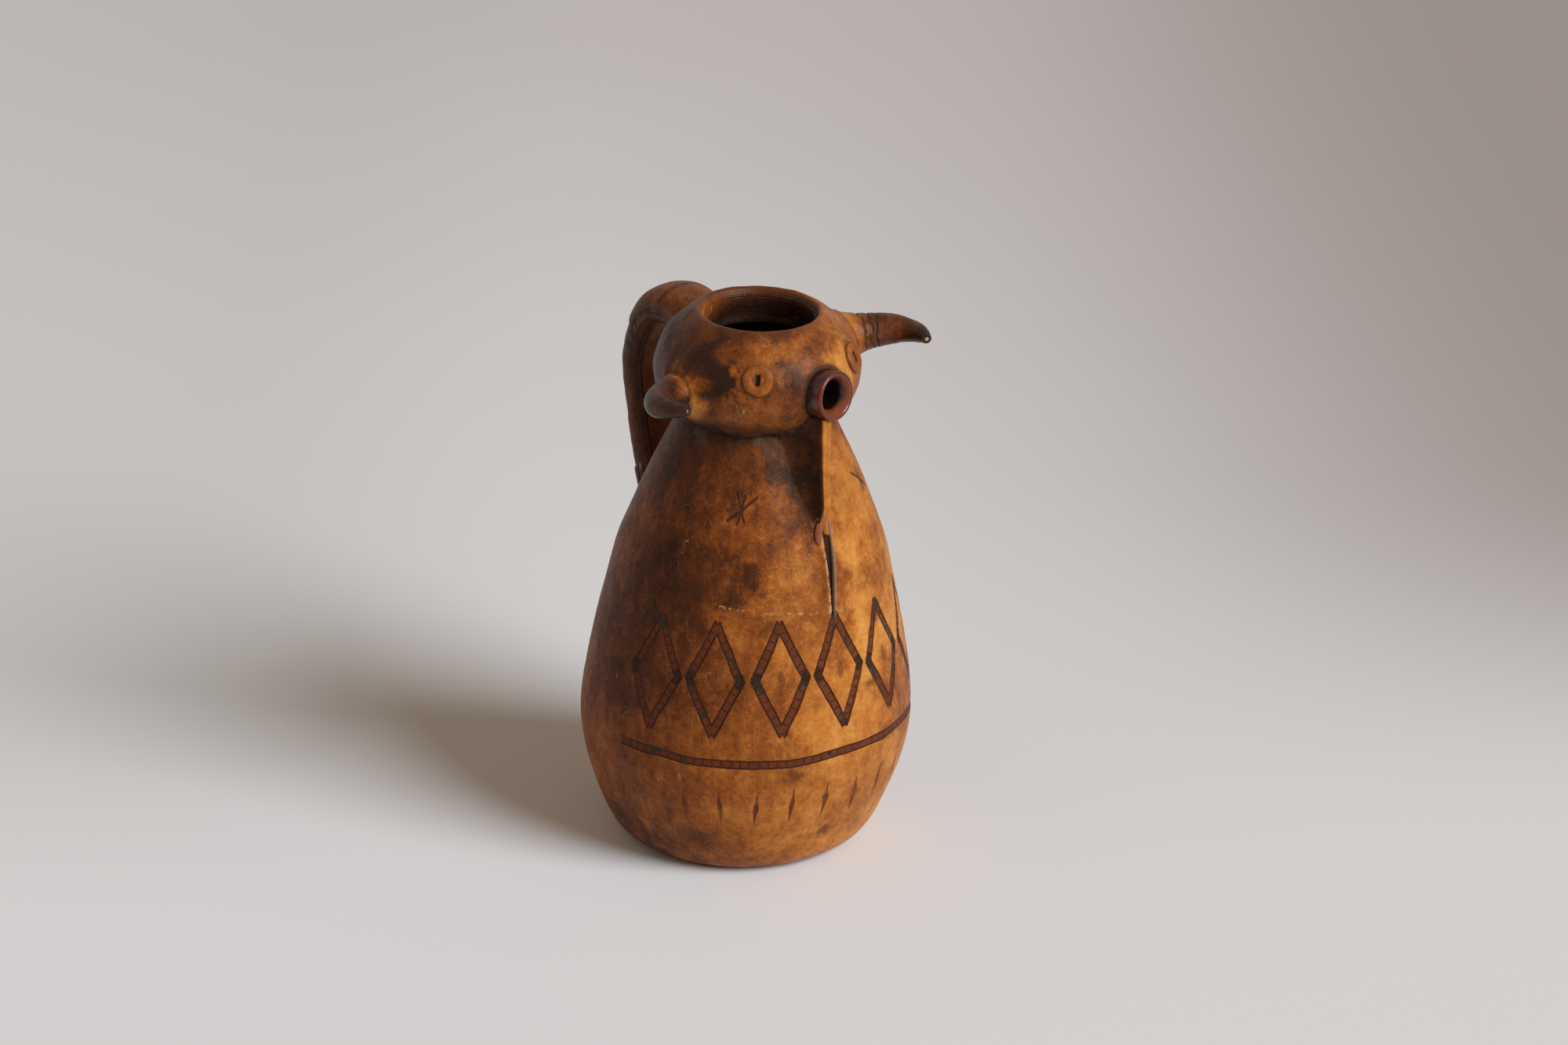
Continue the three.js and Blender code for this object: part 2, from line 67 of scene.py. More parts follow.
# Spout, by the middle of its tip and the two turns of its axis.
SPOUT_TIP = np.array([5.3, -65.0, 239.9])
SPOUT_TURN = math.radians(12)
SPOUT_RISE = math.radians(4)
SPOUT_RADIUS = 11.7
SPOUT_BORE = 6.8
SPOUT_LENGTH = 26

# Dewlap: how far forward its front edge stands at each height, half its thickness, and the hollow
# on each side of it, as its depth, its distance from the middle and its width.
DEWLAP_FRONT = [
    (170, 60.0), (175, 61.4), (178.5, 63.2), (182, 65.2), (187.5, 66.2), (195, 65.4), (205, 64.9),
    (227, 64.4), (233, 63.8),
]
DEWLAP_HALF = 2.75
HOLLOW_DEPTH = 1.7
HOLLOW_SIDE = 11
HOLLOW_WIDTH = 7.0

# Slit below the dewlap: its ends, its drift to the side, how wide it gapes at its foot and how much
# wider at its top. A leaf of leather is folded back beside its top.
SLIT_FOOT = 131
SLIT_TOP = 181
SLIT_DRIFT = -2.0
SLIT_NARROW = 0.6
SLIT_GAPE = 3.4
LEAF_FOOT = 168
LEAF_HEIGHT = 13.5
LEAF_REACH = 3.4

# Horns: side, forward and height of root, bend and tip.
HORNS = {
    "left": ((36.4, 2, 244.2), (80, 8, 250.2), (70.5, 38, 249.7)),
    "right": ((-36.4, 2, 237), (-80, 8, 239), (-68.5, 40.5, 244.5)),
}
# Radius of each horn at its root, its flare onto the head, and its creases as depth, first place
# along the horn and number.
HORN_ROOT = {"left": 9.8, "right": 8.8}
HORN_FLARE = {"left": 0.45, "right": 0.3}
HORN_CREASES = {"left": (0.55, 0.34, 3.0), "right": (0.3, 0.25, 2.0)}
HORN_TIP = 2.3
HORN_TAPER = 2.0
HORN_LUMPS = 1.2
HORN_GRAIN = 0.4
HORN_STATIONS = 240
HORN_SIDES = 48
HORN_POINTS = 90

# Eyes.
EYE_TURN = 36
EYE_HEIGHT = 250.5
EYE_RADIUS = 7.3
EYE_RISE = 1.7

# Handle: places on its outer face, how far back and how high.
HANDLE_ROOT_HEIGHT = 254.5
HANDLE_PLACES = [(52, 258), (69.8, 249.8), (83.6, 220), (77, 181), (66.6, 150)]
COVER_WIDTH = 28.8
COVER_DEPTH = 13.2
COVER_ROUNDING = 5.6
COVER_CROWN = 4
STRIP_WIDTH = 19
SLOT_ROOM = 0.35
CAP_END = 0.31
FOOT_TAB = (0.74, 0.89)
SADDLE_INNER = 0.18
SADDLE_OUTER = 0.85
HANDLE_ROOM = 0.12
HANDLE_STEPS = 600


# Outlines and fields

def bridged(start, end, leave, arrive, steps):
    """Points on the curve from one point to another, by the ways in which it leaves and arrives."""
    t = np.linspace(0, 1, steps, endpoint=False)[:, None]
    cubed = 2 * start - 2 * end + leave + arrive
    squared = 3 * end - 3 * start - 2 * leave - arrive
    return cubed * t**3 + squared * t**2 + leave * t + start


def smooth_line(points, steps):
    """Points on the smooth curve through a few."""
    p = np.array(points, float)
    p = np.vstack([p[:1], p, p[-1:]])
    out = []
    for a, b, c, d in zip(p, p[1:], p[2:], p[3:]):
        out.append(bridged(b, c, (c - a) / 2, (d - b) / 2, steps))
    return np.vstack(out + [p[-2:-1]])


def unlooped_line(points, steps):
    """A smooth curve through a few points that doesn't swing wide where they are unevenly apart."""
    p = np.array(points, float)
    p = np.vstack([2 * p[0] - p[1], p, 2 * p[-1] - p[-2]])
    out = []
    for a, b, c, d in zip(p, p[1:], p[2:], p[3:]):
        before, here, after = (math.sqrt(np.linalg.norm(v)) for v in (b - a, c - b, d - c))
        leave = ((b - a) / before - (c - a) / (before + here) + (c - b) / here) * here
        arrive = ((c - b) / here - (d - b) / (here + after) + (d - c) / after) * here
        out.append(bridged(b, c, leave, arrive, steps))
    return np.vstack(out + [p[-2:-1]])


def spaced(line, count):
    """The same line with its points evenly apart."""
    length = np.concatenate([[0], np.cumsum(np.linalg.norm(np.diff(line, axis=0), axis=1))])
    at = np.linspace(0, length[-1], count)
    return np.stack([np.interp(at, length, line[:, k]) for k in range(line.shape[1])], 1)


def softened(line, reach):
    """The same outline with its bends eased over this many points on each side."""
    weight = np.hanning(2 * reach + 3)[1:-1]
    wide = np.pad(line[:, 0], reach, mode="reflect", reflect_type="odd")
    eased = np.convolve(wide, weight / weight.sum(), mode="valid")
    return np.column_stack([eased, line[:, 1]])


body_line = softened(spaced(smooth_line(BODY_OUTLINE, 60), 400), 26)
head_line = spaced(smooth_line(HEAD_OUTLINE + THROAT_LAP, 60), 320)
lip_share = np.interp(head_line[:, 1], [258, 263], [0, 1])[:, None]
head_line = softened(head_line, 15) * (1 - lip_share) + head_line * lip_share
head_side = head_line[: int(np.argmax(head_line[:, 1])) + 1]


def body_radius(height):
    return np.interp(height, body_line[:, 1], body_line[:, 0])


def head_radius(height):
    return np.interp(height, head_side[:, 1], head_side[:, 0])


def axis_y(height):
    return -LEAN * height


def nod_share(height):
    """How much of the nod a height takes: none up to the neck, all of it at the lip."""
    return np.clip((height - NECK_HEIGHT) / (LIP_HEIGHT - NECK_HEIGHT), 0, 1)


def settle(x, y, z):
    """Moves points of the upright turned form to where they lie on the leaning pitcher."""
    z = z + NOD * nod_share(z) * y
    return np.stack([x, y + axis_y(z), z], -1)


def upright(point):
    """The other way round: azimuth in degrees, radius and height on the upright form."""
    x, y, z = np.moveaxis(np.asarray(point, float), -1, 0)
    y = y - axis_y(z)
    return np.degrees(np.arctan2(x, -y)), np.hypot(x, y), z - NOD * nod_share(z) * y


def slit_middle(height):
    """How far to the side the slit's right lip is at a height."""
    return (height - SLIT_TOP) * (-SLIT_DRIFT / (SLIT_TOP - SLIT_FOOT))


def slit_gap(height):
    """How wide the slit gapes at a height."""
    return rise(height, 138, 172) * SLIT_GAPE + SLIT_NARROW


def hollow(x, height):
    """How deep the leather sinks beside the dewlap and above the slit."""
    return HOLLOW_DEPTH * bell(np.abs(x) - HOLLOW_SIDE, HOLLOW_WIDTH) * rise(height, 136, 176)


def bell(distance, width):
    return np.exp(-((distance / width) ** 2))


def dents(points, size, seed, octaves=3):
    """Soft uneven swelling between about -1 and 1, over points in millimetres."""
    shift = Vector((seed * 17.3, seed * 5.1, seed * 11.7))
    flat = points.reshape(-1, 3) / size
    made = [noise.fractal(Vector(p) + shift, 1.0, 2.0, octaves) for p in flat]
    return np.array(made).reshape(points.shape[:-1])


# Meshes

def new_mesh(name, points, faces, edges=()):
    """A mesh in metres from points in millimetres."""
    mesh = bpy.data.meshes.new(name)
    mesh.from_pydata((np.asarray(points, float) * MM).tolist(), edges, faces)
    return mesh


def put_in_scene(name, data):
    made = bpy.data.objects.new(name, data)
    bpy.context.scene.collection.objects.link(made)
    return made


def make_piece(name, points, faces, material, slot, replaced=(), shade=None):
    """A closed piece from points in millimetres, which may stand for CAD nodes.

    Shade is painted shade in its folds, slits, joins and hollows, from 0 to 1 for each point.
    """
    mesh = new_mesh(name, points, faces)
    mesh.polygons.foreach_set("use_smooth", [True] * len(mesh.polygons))
    if shade is not None:
        layer = mesh.attributes.new("shade", "FLOAT", "POINT")
        layer.data.foreach_set("value", np.clip(shade, 0, 1).astype(np.float32).ravel())
    mesh.materials.append(material)
    face_outwards(mesh)
    piece = put_in_scene(name, mesh)
    seat_piece(piece, replaced)
    return piece


def seat_piece(piece, replaced):
    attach(piece, "root")
    if replaced:
        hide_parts(*replaced)


def face_outwards(mesh):
    """Doubles merged and normals turned out."""
    work = bmesh.new()
    work.from_mesh(mesh)
    bmesh.ops.remove_doubles(work, verts=work.verts, dist=0.01 * MM)
    bmesh.ops.recalc_face_normals(work, faces=work.faces)
    work.to_mesh(mesh)
    work.free()


def ring_faces(rows, columns, closed_rows=False, start=0):
    """Four-sided faces between rings of points; rows run up and columns anticlockwise."""
    faces = []
    for i in range(rows if closed_rows else rows - 1):
        a, b = start + i * columns, start + ((i + 1) % rows) * columns
        for j in range(columns):
            k = (j + 1) % columns
            faces.append((a + j, a + k, b + k, b + j))
    return faces


def with_caps(rings, start=0):
    """Points and faces of rings of points closed at both ends."""
    rows, columns = rings.shape[:2]
    faces = ring_faces(rows, columns, start=start)
    last = start + (rows - 1) * columns
    faces.append(tuple(range(start, start + columns))[::-1])
    faces.append(tuple(range(last, last + columns)))
    return rings.reshape(-1, 3), faces


def closed_profile(outer, thickness, inner_count, rounding=4, bulge=0.6):
    """A closed outline of a hide: its outer line, a round edge, its inner line and a round edge.

    Returns the points, the outward directions and how much of a dent each point takes.
    """
    along = np.gradient(outer, axis=0)
    along /= np.linalg.norm(along, axis=1)[:, None]
    out = np.stack([along[:, 1], -along[:, 0]], 1)
    inner_at = np.linspace(len(outer) - 1, 0, inner_count).round().astype(int)
    turn = np.linspace(0, math.pi, rounding + 2)[1:-1]

    def round_edge(end, way, turn):
        across = np.outer(np.cos(turn), out[end])
        ahead = np.outer(np.sin(turn), way) * bulge
        points = outer[end] - out[end] * thickness / 2 + (across + ahead) * thickness / 2
        return points, np.repeat(out[end][None], len(turn), 0), (1 + np.cos(turn)) / 2

    stretches = (
        (outer, out, np.ones(len(outer))),
        round_edge(-1, along[-1], turn),
        (outer[inner_at] - out[inner_at] * thickness, out[inner_at], np.zeros(inner_count)),
        round_edge(0, -along[0], turn[::-1]),
    )
    points, normals, share = zip(*stretches)
    return np.vstack(points), np.vstack(normals), np.concatenate(share)


def turned_hide(outer, thickness, inner_count, azimuths, field):
    """Points, faces and shade of a turned shell of leather, whose field gives its swelling and shade."""
    profile, out, share = closed_profile(outer, thickness, inner_count)
    azimuth, row = np.meshgrid(np.radians(azimuths), np.arange(len(profile)))
    radius, height = profile[row, 0], profile[row, 1]
    swell, shade = field(np.degrees(azimuth), radius, height)
    swell = swell * share[row]
    radius = radius + swell * out[row, 0]
    height = height + swell * out[row, 1]
    points = settle(radius * np.sin(azimuth), -radius * np.cos(azimuth), height)
    rows, columns = azimuth.shape
    return points.reshape(-1, 3), ring_faces(rows, columns, closed_rows=True), shade.ravel()


def crowded_azimuths(count, near, share):
    """Angles round the form that crowd within a few degrees of the front."""
    inner = np.linspace(-near, near, int(count * share) + 1)
    t = np.linspace(0, 1, (count - len(inner)) // 2 + 2)[1:]
    grow = near + (180 - near) * (0.35 * t + 0.65 * t**1.6)
    return np.concatenate([-grow[::-1][1:], inner, grow])


# Sums that work on numbers and on sockets

class Value:
    """Something that varies over a surface: a socket in a tree of nodes, usable in sums."""

    def __init__(self, bench, socket):
        self.bench = bench
        self.socket = socket

    def pick(self, output):
        return Value(self.bench, self.socket.node.outputs[output])

    def math(self, operation, *others):
        sockets = dict(enumerate((self,) + others))
        return self.bench.node("ShaderNodeMath", {"operation": operation}, sockets)

    def __add__(self, other):
        return self.math("ADD", other)

    def __radd__(self, other):
        return self.math("ADD", other)

    def __sub__(self, other):
        return self.math("SUBTRACT", other)

    def __rsub__(self, other):
        return (self * -1).math("ADD", other)

    def __mul__(self, other):
        return self.math("MULTIPLY", other)

    def __rmul__(self, other):
        return self.math("MULTIPLY", other)

    def __truediv__(self, other):
        return self.math("DIVIDE", other)

    def __pow__(self, other):
        return self.math("POWER", other)

    def __neg__(self):
        return self * -1

    def __abs__(self):
        return self.math("ABSOLUTE")


def first_value(*things):
    """The first of these that is a socket, or nothing if all are numbers."""
    return next((t for t in things if isinstance(t, Value)), None)


def least(a, b):
    v = first_value(a, b)
    return v.math("MINIMUM", b if v is a else a) if v else np.minimum(a, b)


def most(a, b):
    v = first_value(a, b)
    return v.math("MAXIMUM", b if v is a else a) if v else np.maximum(a, b)


def span(a, b):
    """Length of the two sides together."""
    return (a * a + b * b) ** 0.5


def rise(value, low, high):
    """0 below low, 1 above high, and a soft step between."""
    if not first_value(value):
        t = np.clip((value - low) / (high - low), 0, 1)
        return t * t * (3 - 2 * t)
    sockets = {"Value": value, "From Min": low, "From Max": high}
    return value.bench.node("ShaderNodeMapRange", {"interpolation_type": "SMOOTHSTEP"}, sockets)


def fall(value, low, high):
    return 1 - rise(value, low, high)


def direction(a, b):
    """Angle in degrees of a over b."""
    if first_value(a, b):
        return a.math("ARCTAN2", b) * (180 / math.pi)
    return np.degrees(np.arctan2(a, b))


def repeat(value, width):
    """(distance from the middle of the nearest of many equal cells, the number of that cell)."""
    if first_value(value):
        number = (value / width).math("ROUND")
    else:
        number = np.round(value / width)
    return value - number * width, number


def sine(value):
    return value.math("SINE") if first_value(value) else np.sin(value)


def shake(number, seed):
    """A steady but uneven number between -1 and 1 for each whole number."""
    many = sine(number * 12.9898 + seed * 78.233) * 43.7585
    part = many.math("FRACT") if first_value(many) else many - np.floor(many)
    return part * 2 - 1


# Burned and cut ornament on the body

LOZENGE_STEP = 24.0
LOZENGE_COUNT = 7
LOZENGE_HALF_TURN = 9.6
LOZENGE_HALF_HEIGHT = 26.0
LOZENGE_MIDDLE = 108.5
LOZENGE_PER_DEGREE = 1.32
STROKE_HALF = 2.15
STROKE_BARS = 4.4
BORDER_HEIGHT = 68.2
BORDER_HALF_TURN = 83
BORDER_PER_DEGREE = 1.39
TICK_STEP = 12.8
TICKS_EACH_SIDE = 5
TICK_MIDDLE = 43.5
TICK_HALF_HEIGHT = 10.5
TICK_PER_DEGREE = 1.35
STAR_TURN = 42.8
STAR_HEIGHT = 186.0
STAR_PER_DEGREE = 0.873
# Each cut of a star: its turn, how far it reaches up and down, and half its width.
STAR_CUTS = ((-17.6, 8.8, 6.0, 0.5), (14, 8.0, 6.6, 0.5), (51.5, 10.0, 8.6, 0.68))


def stroke(across, along, length):
    """A stamped stroke: its whole width, and its dark edges and cross lines."""
    ends = fall(along - length, -0.4, 0.5)
    inside = least(fall(across, STROKE_HALF - 0.25, STROKE_HALF + 0.25), ends)
    edge = inside * rise(across, STROKE_HALF - 1.1, STROKE_HALF - 0.35)
    bar, _ = repeat(along, STROKE_BARS)
    cross = inside * fall(abs(bar), 0.15, 0.75)
    return inside, most(edge * 0.9, cross * 0.6)


def lozenges(azimuth, height):
    """A row of open lozenges round the belly, as (whole stroke, dark parts, soft centre marks)."""
    off, number = repeat(azimuth, LOZENGE_STEP)
    within = fall(abs(number) - LOZENGE_COUNT / 2, -0.1, 0.1)
    off = off + shake(number, 3) * 0.8
    up = height - LOZENGE_MIDDLE - shake(number, 7) * 1.2
    u = abs(off + up * 0.012) * LOZENGE_PER_DEGREE
    v = abs(up)
    half_width = LOZENGE_HALF_TURN * LOZENGE_PER_DEGREE
    length = math.hypot(half_width, LOZENGE_HALF_HEIGHT)
    cx, cy = half_width / length, LOZENGE_HALF_HEIGHT / length
    along = u * cx + (LOZENGE_HALF_HEIGHT - v) * cy
    across = abs(u * cy - (LOZENGE_HALF_HEIGHT - v) * cx)
    whole, dark = stroke(across, along, length + 0.8)
    short = rise(along, -1.6, -0.8)
    burned_tip = fall(along, 1.5, 3.5) * rise(shake(number, 11), -0.2, 0.2)
    burned_side = rise(along, length - 5, length - 3)
    dark = most(dark, whole * most(burned_tip, burned_side) * 0.9)
    mark = fall(span(u * 1.6, v * 0.62), 2.2, 3.1)
    return whole * short * within, dark * short * within, mark * within


def border(azimuth, height):
    """The long line under the lozenges, as (whole stroke, dark parts)."""
    across = abs(height - BORDER_HEIGHT - slow_waver(azimuth))
    return stroke(across, abs(azimuth) * BORDER_PER_DEGREE, BORDER_HALF_TURN * BORDER_PER_DEGREE)


def slow_waver(azimuth):
    """A slow waver, up to about a millimetre."""
    return sine(azimuth * 0.071 + 0.6) * 0.7 + sine(azimuth * 0.173 + 2.1) * 0.3


def ticks(azimuth, height):
    """A row of short upright spindles."""
    off, number = repeat(azimuth + TICK_STEP / 2, TICK_STEP)
    end = TICKS_EACH_SIDE * TICK_STEP
    within = fall(abs(azimuth), end - 0.2, end + 0.2)
    up = (height - TICK_MIDDLE - shake(number, 5) * 1.3) / TICK_HALF_HEIGHT
    body = most(1 - up * up, 0)
    lobe = most(1 - (up - 0.1) * (up - 0.1) * 9, 0) * (0.5 + 0.5 * shake(number, 2))
    half = body * 1.05 + lobe * 0.9
    across = abs(off * TICK_PER_DEGREE + up * shake(number, 9) * 0.8)
    return fall(across - half, -0.7, 0.35) * within * rise(body, 0.02, 0.25)


def stars(azimuth, height):
    """Three uneven cuts that cross on each shoulder."""
    side = (STAR_TURN - abs(azimuth)) * STAR_PER_DEGREE
    up = height - STAR_HEIGHT
    star = 0
    for turn, above, below, half in STAR_CUTS:
        c, s = math.cos(math.radians(turn)), math.sin(math.radians(turn))
        across = abs(side * c - up * s)
        along = side * s + up * c
        cut = fall(across + abs(along) * 0.02, half - 0.2, half + 0.25)
        cut = cut * fall(along, above - 0.8, above + 0.2) * rise(along, -below - 0.2, 0.8 - below)
        star = most(star, cut)
    return star


# Finishes

class Bench:
    """A tree of nodes, for a finish or for a form."""

    def __init__(self, tree):
        self.tree = tree

    def node(self, kind, settings=None, sockets=None, output=0):
        made = self.tree.nodes.new(kind)
        for name, value in (settings or {}).items():
            if name == "stops":
                self.set_stops(made.color_ramp, value)
            else:
                setattr(made, name, value)
        for key, value in (sockets or {}).items():
            if isinstance(value, Value):
                self.tree.links.new(value.socket, made.inputs[key])
            elif value is not None:
                made.inputs[key].default_value = value
        return Value(self, made.outputs[output])

    def set_stops(self, ramp, stops):
        while len(ramp.elements) < len(stops):
            ramp.elements.new(0.5)
        for element, (at, colour) in zip(ramp.elements, stops):
            element.position = at
            element.color = (*colour, 1)


class Finish(Bench):
    """A material under construction, with its place on the object in millimetres."""

    def __init__(self, name):
        self.material = bpy.data.materials.new(name)
        self.material.use_nodes = True
        super().__init__(self.material.node_tree)
        self.tree.nodes.clear()
        metres = self.node("ShaderNodeTexCoord").pick("Object")
        self.place = self.node("ShaderNodeVectorMath", {"operation": "SCALE"}, {0: metres, "Scale": 1000.0})
        parts = self.node("ShaderNodeSeparateXYZ", None, {0: self.place})
        self.x, self.y, self.z = parts.pick("X"), parts.pick("Y"), parts.pick("Z")

    def scaled(self, size, shift, stretch):
        """The place in units of a size in millimetres, drawn out and moved along the three ways."""
        scale = tuple(s / size for s in stretch)
        sockets = {"Vector": self.place, "Scale": scale, "Location": shift}
        return self.node("ShaderNodeMapping", None, sockets)

    def cloud(self, size, detail=3.0, seed=0.0, roughness=0.5, stretch=(1, 1, 1)):
        """Noise between 0 and 1 whose features are about this many millimetres wide."""
        at = self.scaled(size, (seed * 3.1, seed * 7.7, seed * 1.9), stretch)
        sockets = {"Vector": at, "Scale": 1.0, "Detail": detail, "Roughness": roughness}
        return self.node("ShaderNodeTexNoise", None, sockets)

    def blotch(self, size, detail=3.0, seed=0.0, roughness=0.5):
        """The same noise between -0.5 and 0.5."""
        return self.cloud(size, detail, seed, roughness) - 0.5

    def pebbles(self, size, seed, feature="F1"):
        """Distance within rounded cells of about this many millimetres."""
        at = self.scaled(size, (seed * 2.3, seed * 4.9, seed * 6.1), (1, 1, 1))
        return self.node("ShaderNodeTexVoronoi", {"feature": feature}, {"Vector": at, "Scale": 1.0})

    def attribute(self, name):
        return self.node("ShaderNodeAttribute", {"attribute_name": name}).pick("Fac")

    def around(self):
        """The turn round the leaning pitcher in degrees, and how far a place is behind its middle."""
        behind = self.y + self.z * LEAN
        return direction(self.x, -behind), behind

    def mix(self, share, a, b):
        """Colour a where share is 0 and colour b where it is 1."""
        a, b = (c if isinstance(c, Value) else (*c, 1) for c in (a, b))
        settings = {"data_type": "RGBA", "blend_type": "MIX", "clamp_factor": True}
        return self.node("ShaderNodeMix", settings, {0: share, 6: a, 7: b}, output=2)

    def cover(self, colour, roughness, height, plain=None):
        """Ends the tree: a shader with its colour, roughness, relief in millimetres and plain values."""
        relief = {"Strength": 1.0, "Distance": MM, "Height": height}
        normal = self.node("ShaderNodeBump", None, relief)
        sockets = {"Base Color": colour, "Roughness": roughness, "Normal": normal, **(plain or {})}
        shader = self.node("ShaderNodeBsdfPrincipled", None, sockets)
        end = self.tree.nodes.new("ShaderNodeOutputMaterial")
        self.tree.links.new(shader.socket, end.inputs["Surface"])
        return self.material


TAN = (0.20, 0.062, 0.016)
BROWN = (0.090, 0.029, 0.011)
UMBER = (0.036, 0.014, 0.009)
INK = (0.012, 0.007, 0.006)
SMUDGE = (0.056, 0.017, 0.008)
REDDENED = (0.150, 0.034, 0.012)
GREENISH = (0.026, 0.024, 0.016)
BURNED = (0.115, 0.026, 0.010)
RAW = (0.50, 0.34, 0.18)
RAW_EDGE = (0.27, 0.20, 0.14)
GLUE = (0.13, 0.085, 0.085)
PALE_WAX = (0.20, 0.15, 0.13)
GLAZE_BLACK = (0.026, 0.011, 0.008)
GLAZE_BROWN = (0.060, 0.019, 0.012)
GLAZE_RED = (0.13, 0.026, 0.010)
GLAZE_SPECK = (0.10, 0.04, 0.018)
BORE_BLACK = (0.012, 0.005, 0.004)
BORE_RED = (0.19, 0.045, 0.018)
THROAT_BLACK = (0.028, 0.012, 0.008)
THROAT_BROWN = (0.055, 0.02, 0.011)
CLAY_PALE = (0.34, 0.13, 0.06)
CLAY_DARK = (0.22, 0.08, 0.04)
WOOD_PALE = (0.62, 0.42, 0.24)
WOOD_DARK = (0.30, 0.17, 0.08)
WOOD_STAIN = (0.16, 0.08, 0.04)
HIDE_TONES = (
    (0.0, (0.62, 0.285, 0.062)),
    (0.25, (0.47, 0.170, 0.030)),
    (0.5, (0.255, 0.072, 0.013)),
    (0.75, (0.098, 0.026, 0.0075)),
    (1.0, (0.026, 0.010, 0.0055)),
)
LEAF_TONES = ((0.0, (0.42, 0.15, 0.07)), (0.5, (0.21, 0.062, 0.030)), (1.0, (0.05, 0.014, 0.009)))
FLESH_TONES = ((0.0, (0.42, 0.27, 0.15)), (1.0, (0.14, 0.08, 0.045)))
WARM_SHINE = (1.0, 0.78, 0.6, 1)


def leather(
    name, seed, tone, roughness, placed=None, marks=None, tones=HIDE_TONES, patchy=1.0, gloss=0.2,
):
    """Oiled, wet-moulded leather. Tone runs from golden at 0 to nearly black at 1; placed adds to it by
    place, and marks puts worked or worn details over it; both also carry some painted light and shade."""
    finish = Finish(name)
    broad = finish.blotch(46, 3, seed, 0.6)
    patches = finish.cloud(11, 7, seed + 1, 0.69)
    specks = finish.cloud(2.6, 3, seed + 2, 0.62)
    fibre = finish.cloud(0.6, 2, seed + 3)
    wiped = finish.cloud(5, 3, seed + 5, 0.6, (1, 1, 0.16)) - 0.5
    pores = finish.pebbles(0.85, seed)
    wrinkle = finish.pebbles(2.4, seed + 4, "DISTANCE_TO_EDGE")
    tone = tone + (broad * 0.55 + (patches - 0.5) * 0.66 + wiped * 0.3) * patchy
    tone = tone + (specks - 0.5) * 0.36 + (fibre - 0.5) * 0.3 + (pores - 0.4) * 0.1
    if placed:
        tone = tone + placed(finish)
    colour = finish.node("ShaderNodeValToRGB", {"stops": tones}, {0: tone})
    line = finish.cloud(11, 2, seed + 6, 0.5, (1, 1, 0.35))
    where = finish.cloud(22, 2, seed + 7)
    scratch = fall(abs(line - 0.5), 0.002, 0.008) * rise(where, 0.56, 0.63) * rise(specks, 0.4, 0.6)
    relief = wrinkle * 0.07 + pores * 0.09 + fibre * 0.09 + specks * 0.16 + patches * 0.55
    relief = relief - scratch * 0.08
    rough = roughness + (specks - 0.5) * 0.24 + (patches - 0.5) * 0.24 + scratch * 0.2
    parts = {"colour": finish.mix(scratch * 0.5, colour, RAW), "rough": rough, "relief": relief}
    if marks:
        parts = marks(finish, parts)
    # The shade attribute is painted shade: folds, slits, joins and hollows go towards ink and turn rougher.
    shade = finish.attribute("shade")
    colour = finish.mix(shade, parts["colour"], INK)
    plain = {"Specular IOR Level": gloss, "Specular Tint": WARM_SHINE}
    return finish.cover(colour, parts["rough"] + shade * 0.25, parts["relief"], plain)


# Darker and paler clouds of the hide: turn, height, spread round, spread up, change of tone. Most are the
# leather's own mottling and staining; a few are painted light and shade.
# On the body the pale cloud at (-30, 184) is painted light and the dark one at (-20, 202) is partly painted
# shadow, both beside the dewlap.
BODY_STAINS_LIGHT_AND_SHADE = (
    (-72, 150, 28, 22, 0.26), (33, 143, 20, 22, 0.42), (-30, 184, 11, 11, -0.18),
    (-12, 161, 11, 16, -0.18), (-38, 152, 12, 8, 0.26), (4, 82, 28, 36, -0.24),
    (-21, 117, 16, 12, -0.16), (-88, 12, 32, 18, 0.26), (-20, 202, 12, 9, 0.22),
)
# On the head the dark cloud at (-17, 240) is partly painted shadow of the spout, and the pale one at (-76,
# 241) is partly painted light on the skin above the right horn.
HEAD_STAINS_LIGHT_AND_SHADE = (
    (-17, 240, 19, 14, 0.26), (-76, 241, 14, 9, -0.5), (-52, 248, 9, 6, 0.34), (-57, 260, 13, 5, -0.34),
    (-14, 261, 20, 5, -0.3), (20, 248, 24, 11, -0.34), (-92, 233, 20, 6, -0.4),
)
# Dark smudges on the body: turn, height, size.
SMUDGES = (
    (-4, 24, 5.5), (-60, 150, 9), (22, 128, 7), (14, 98, 5), (-20, 60, 6), (-52, 22, 8), (-30, 133, 7),
)


def stains_light_and_shade(azimuth, height, tone_clouds):
    """The change of tone by all these clouds together, the leather's own staining and painted light and
    shade alike.
    """
    total = 0
    for turn, at, round_spread, up_spread, change in tone_clouds:
        away = span((azimuth - turn) * (1 / round_spread), (height - at) * (1 / up_spread))
        total = fall(away, 0.3, 1.35) * change + total
    return total


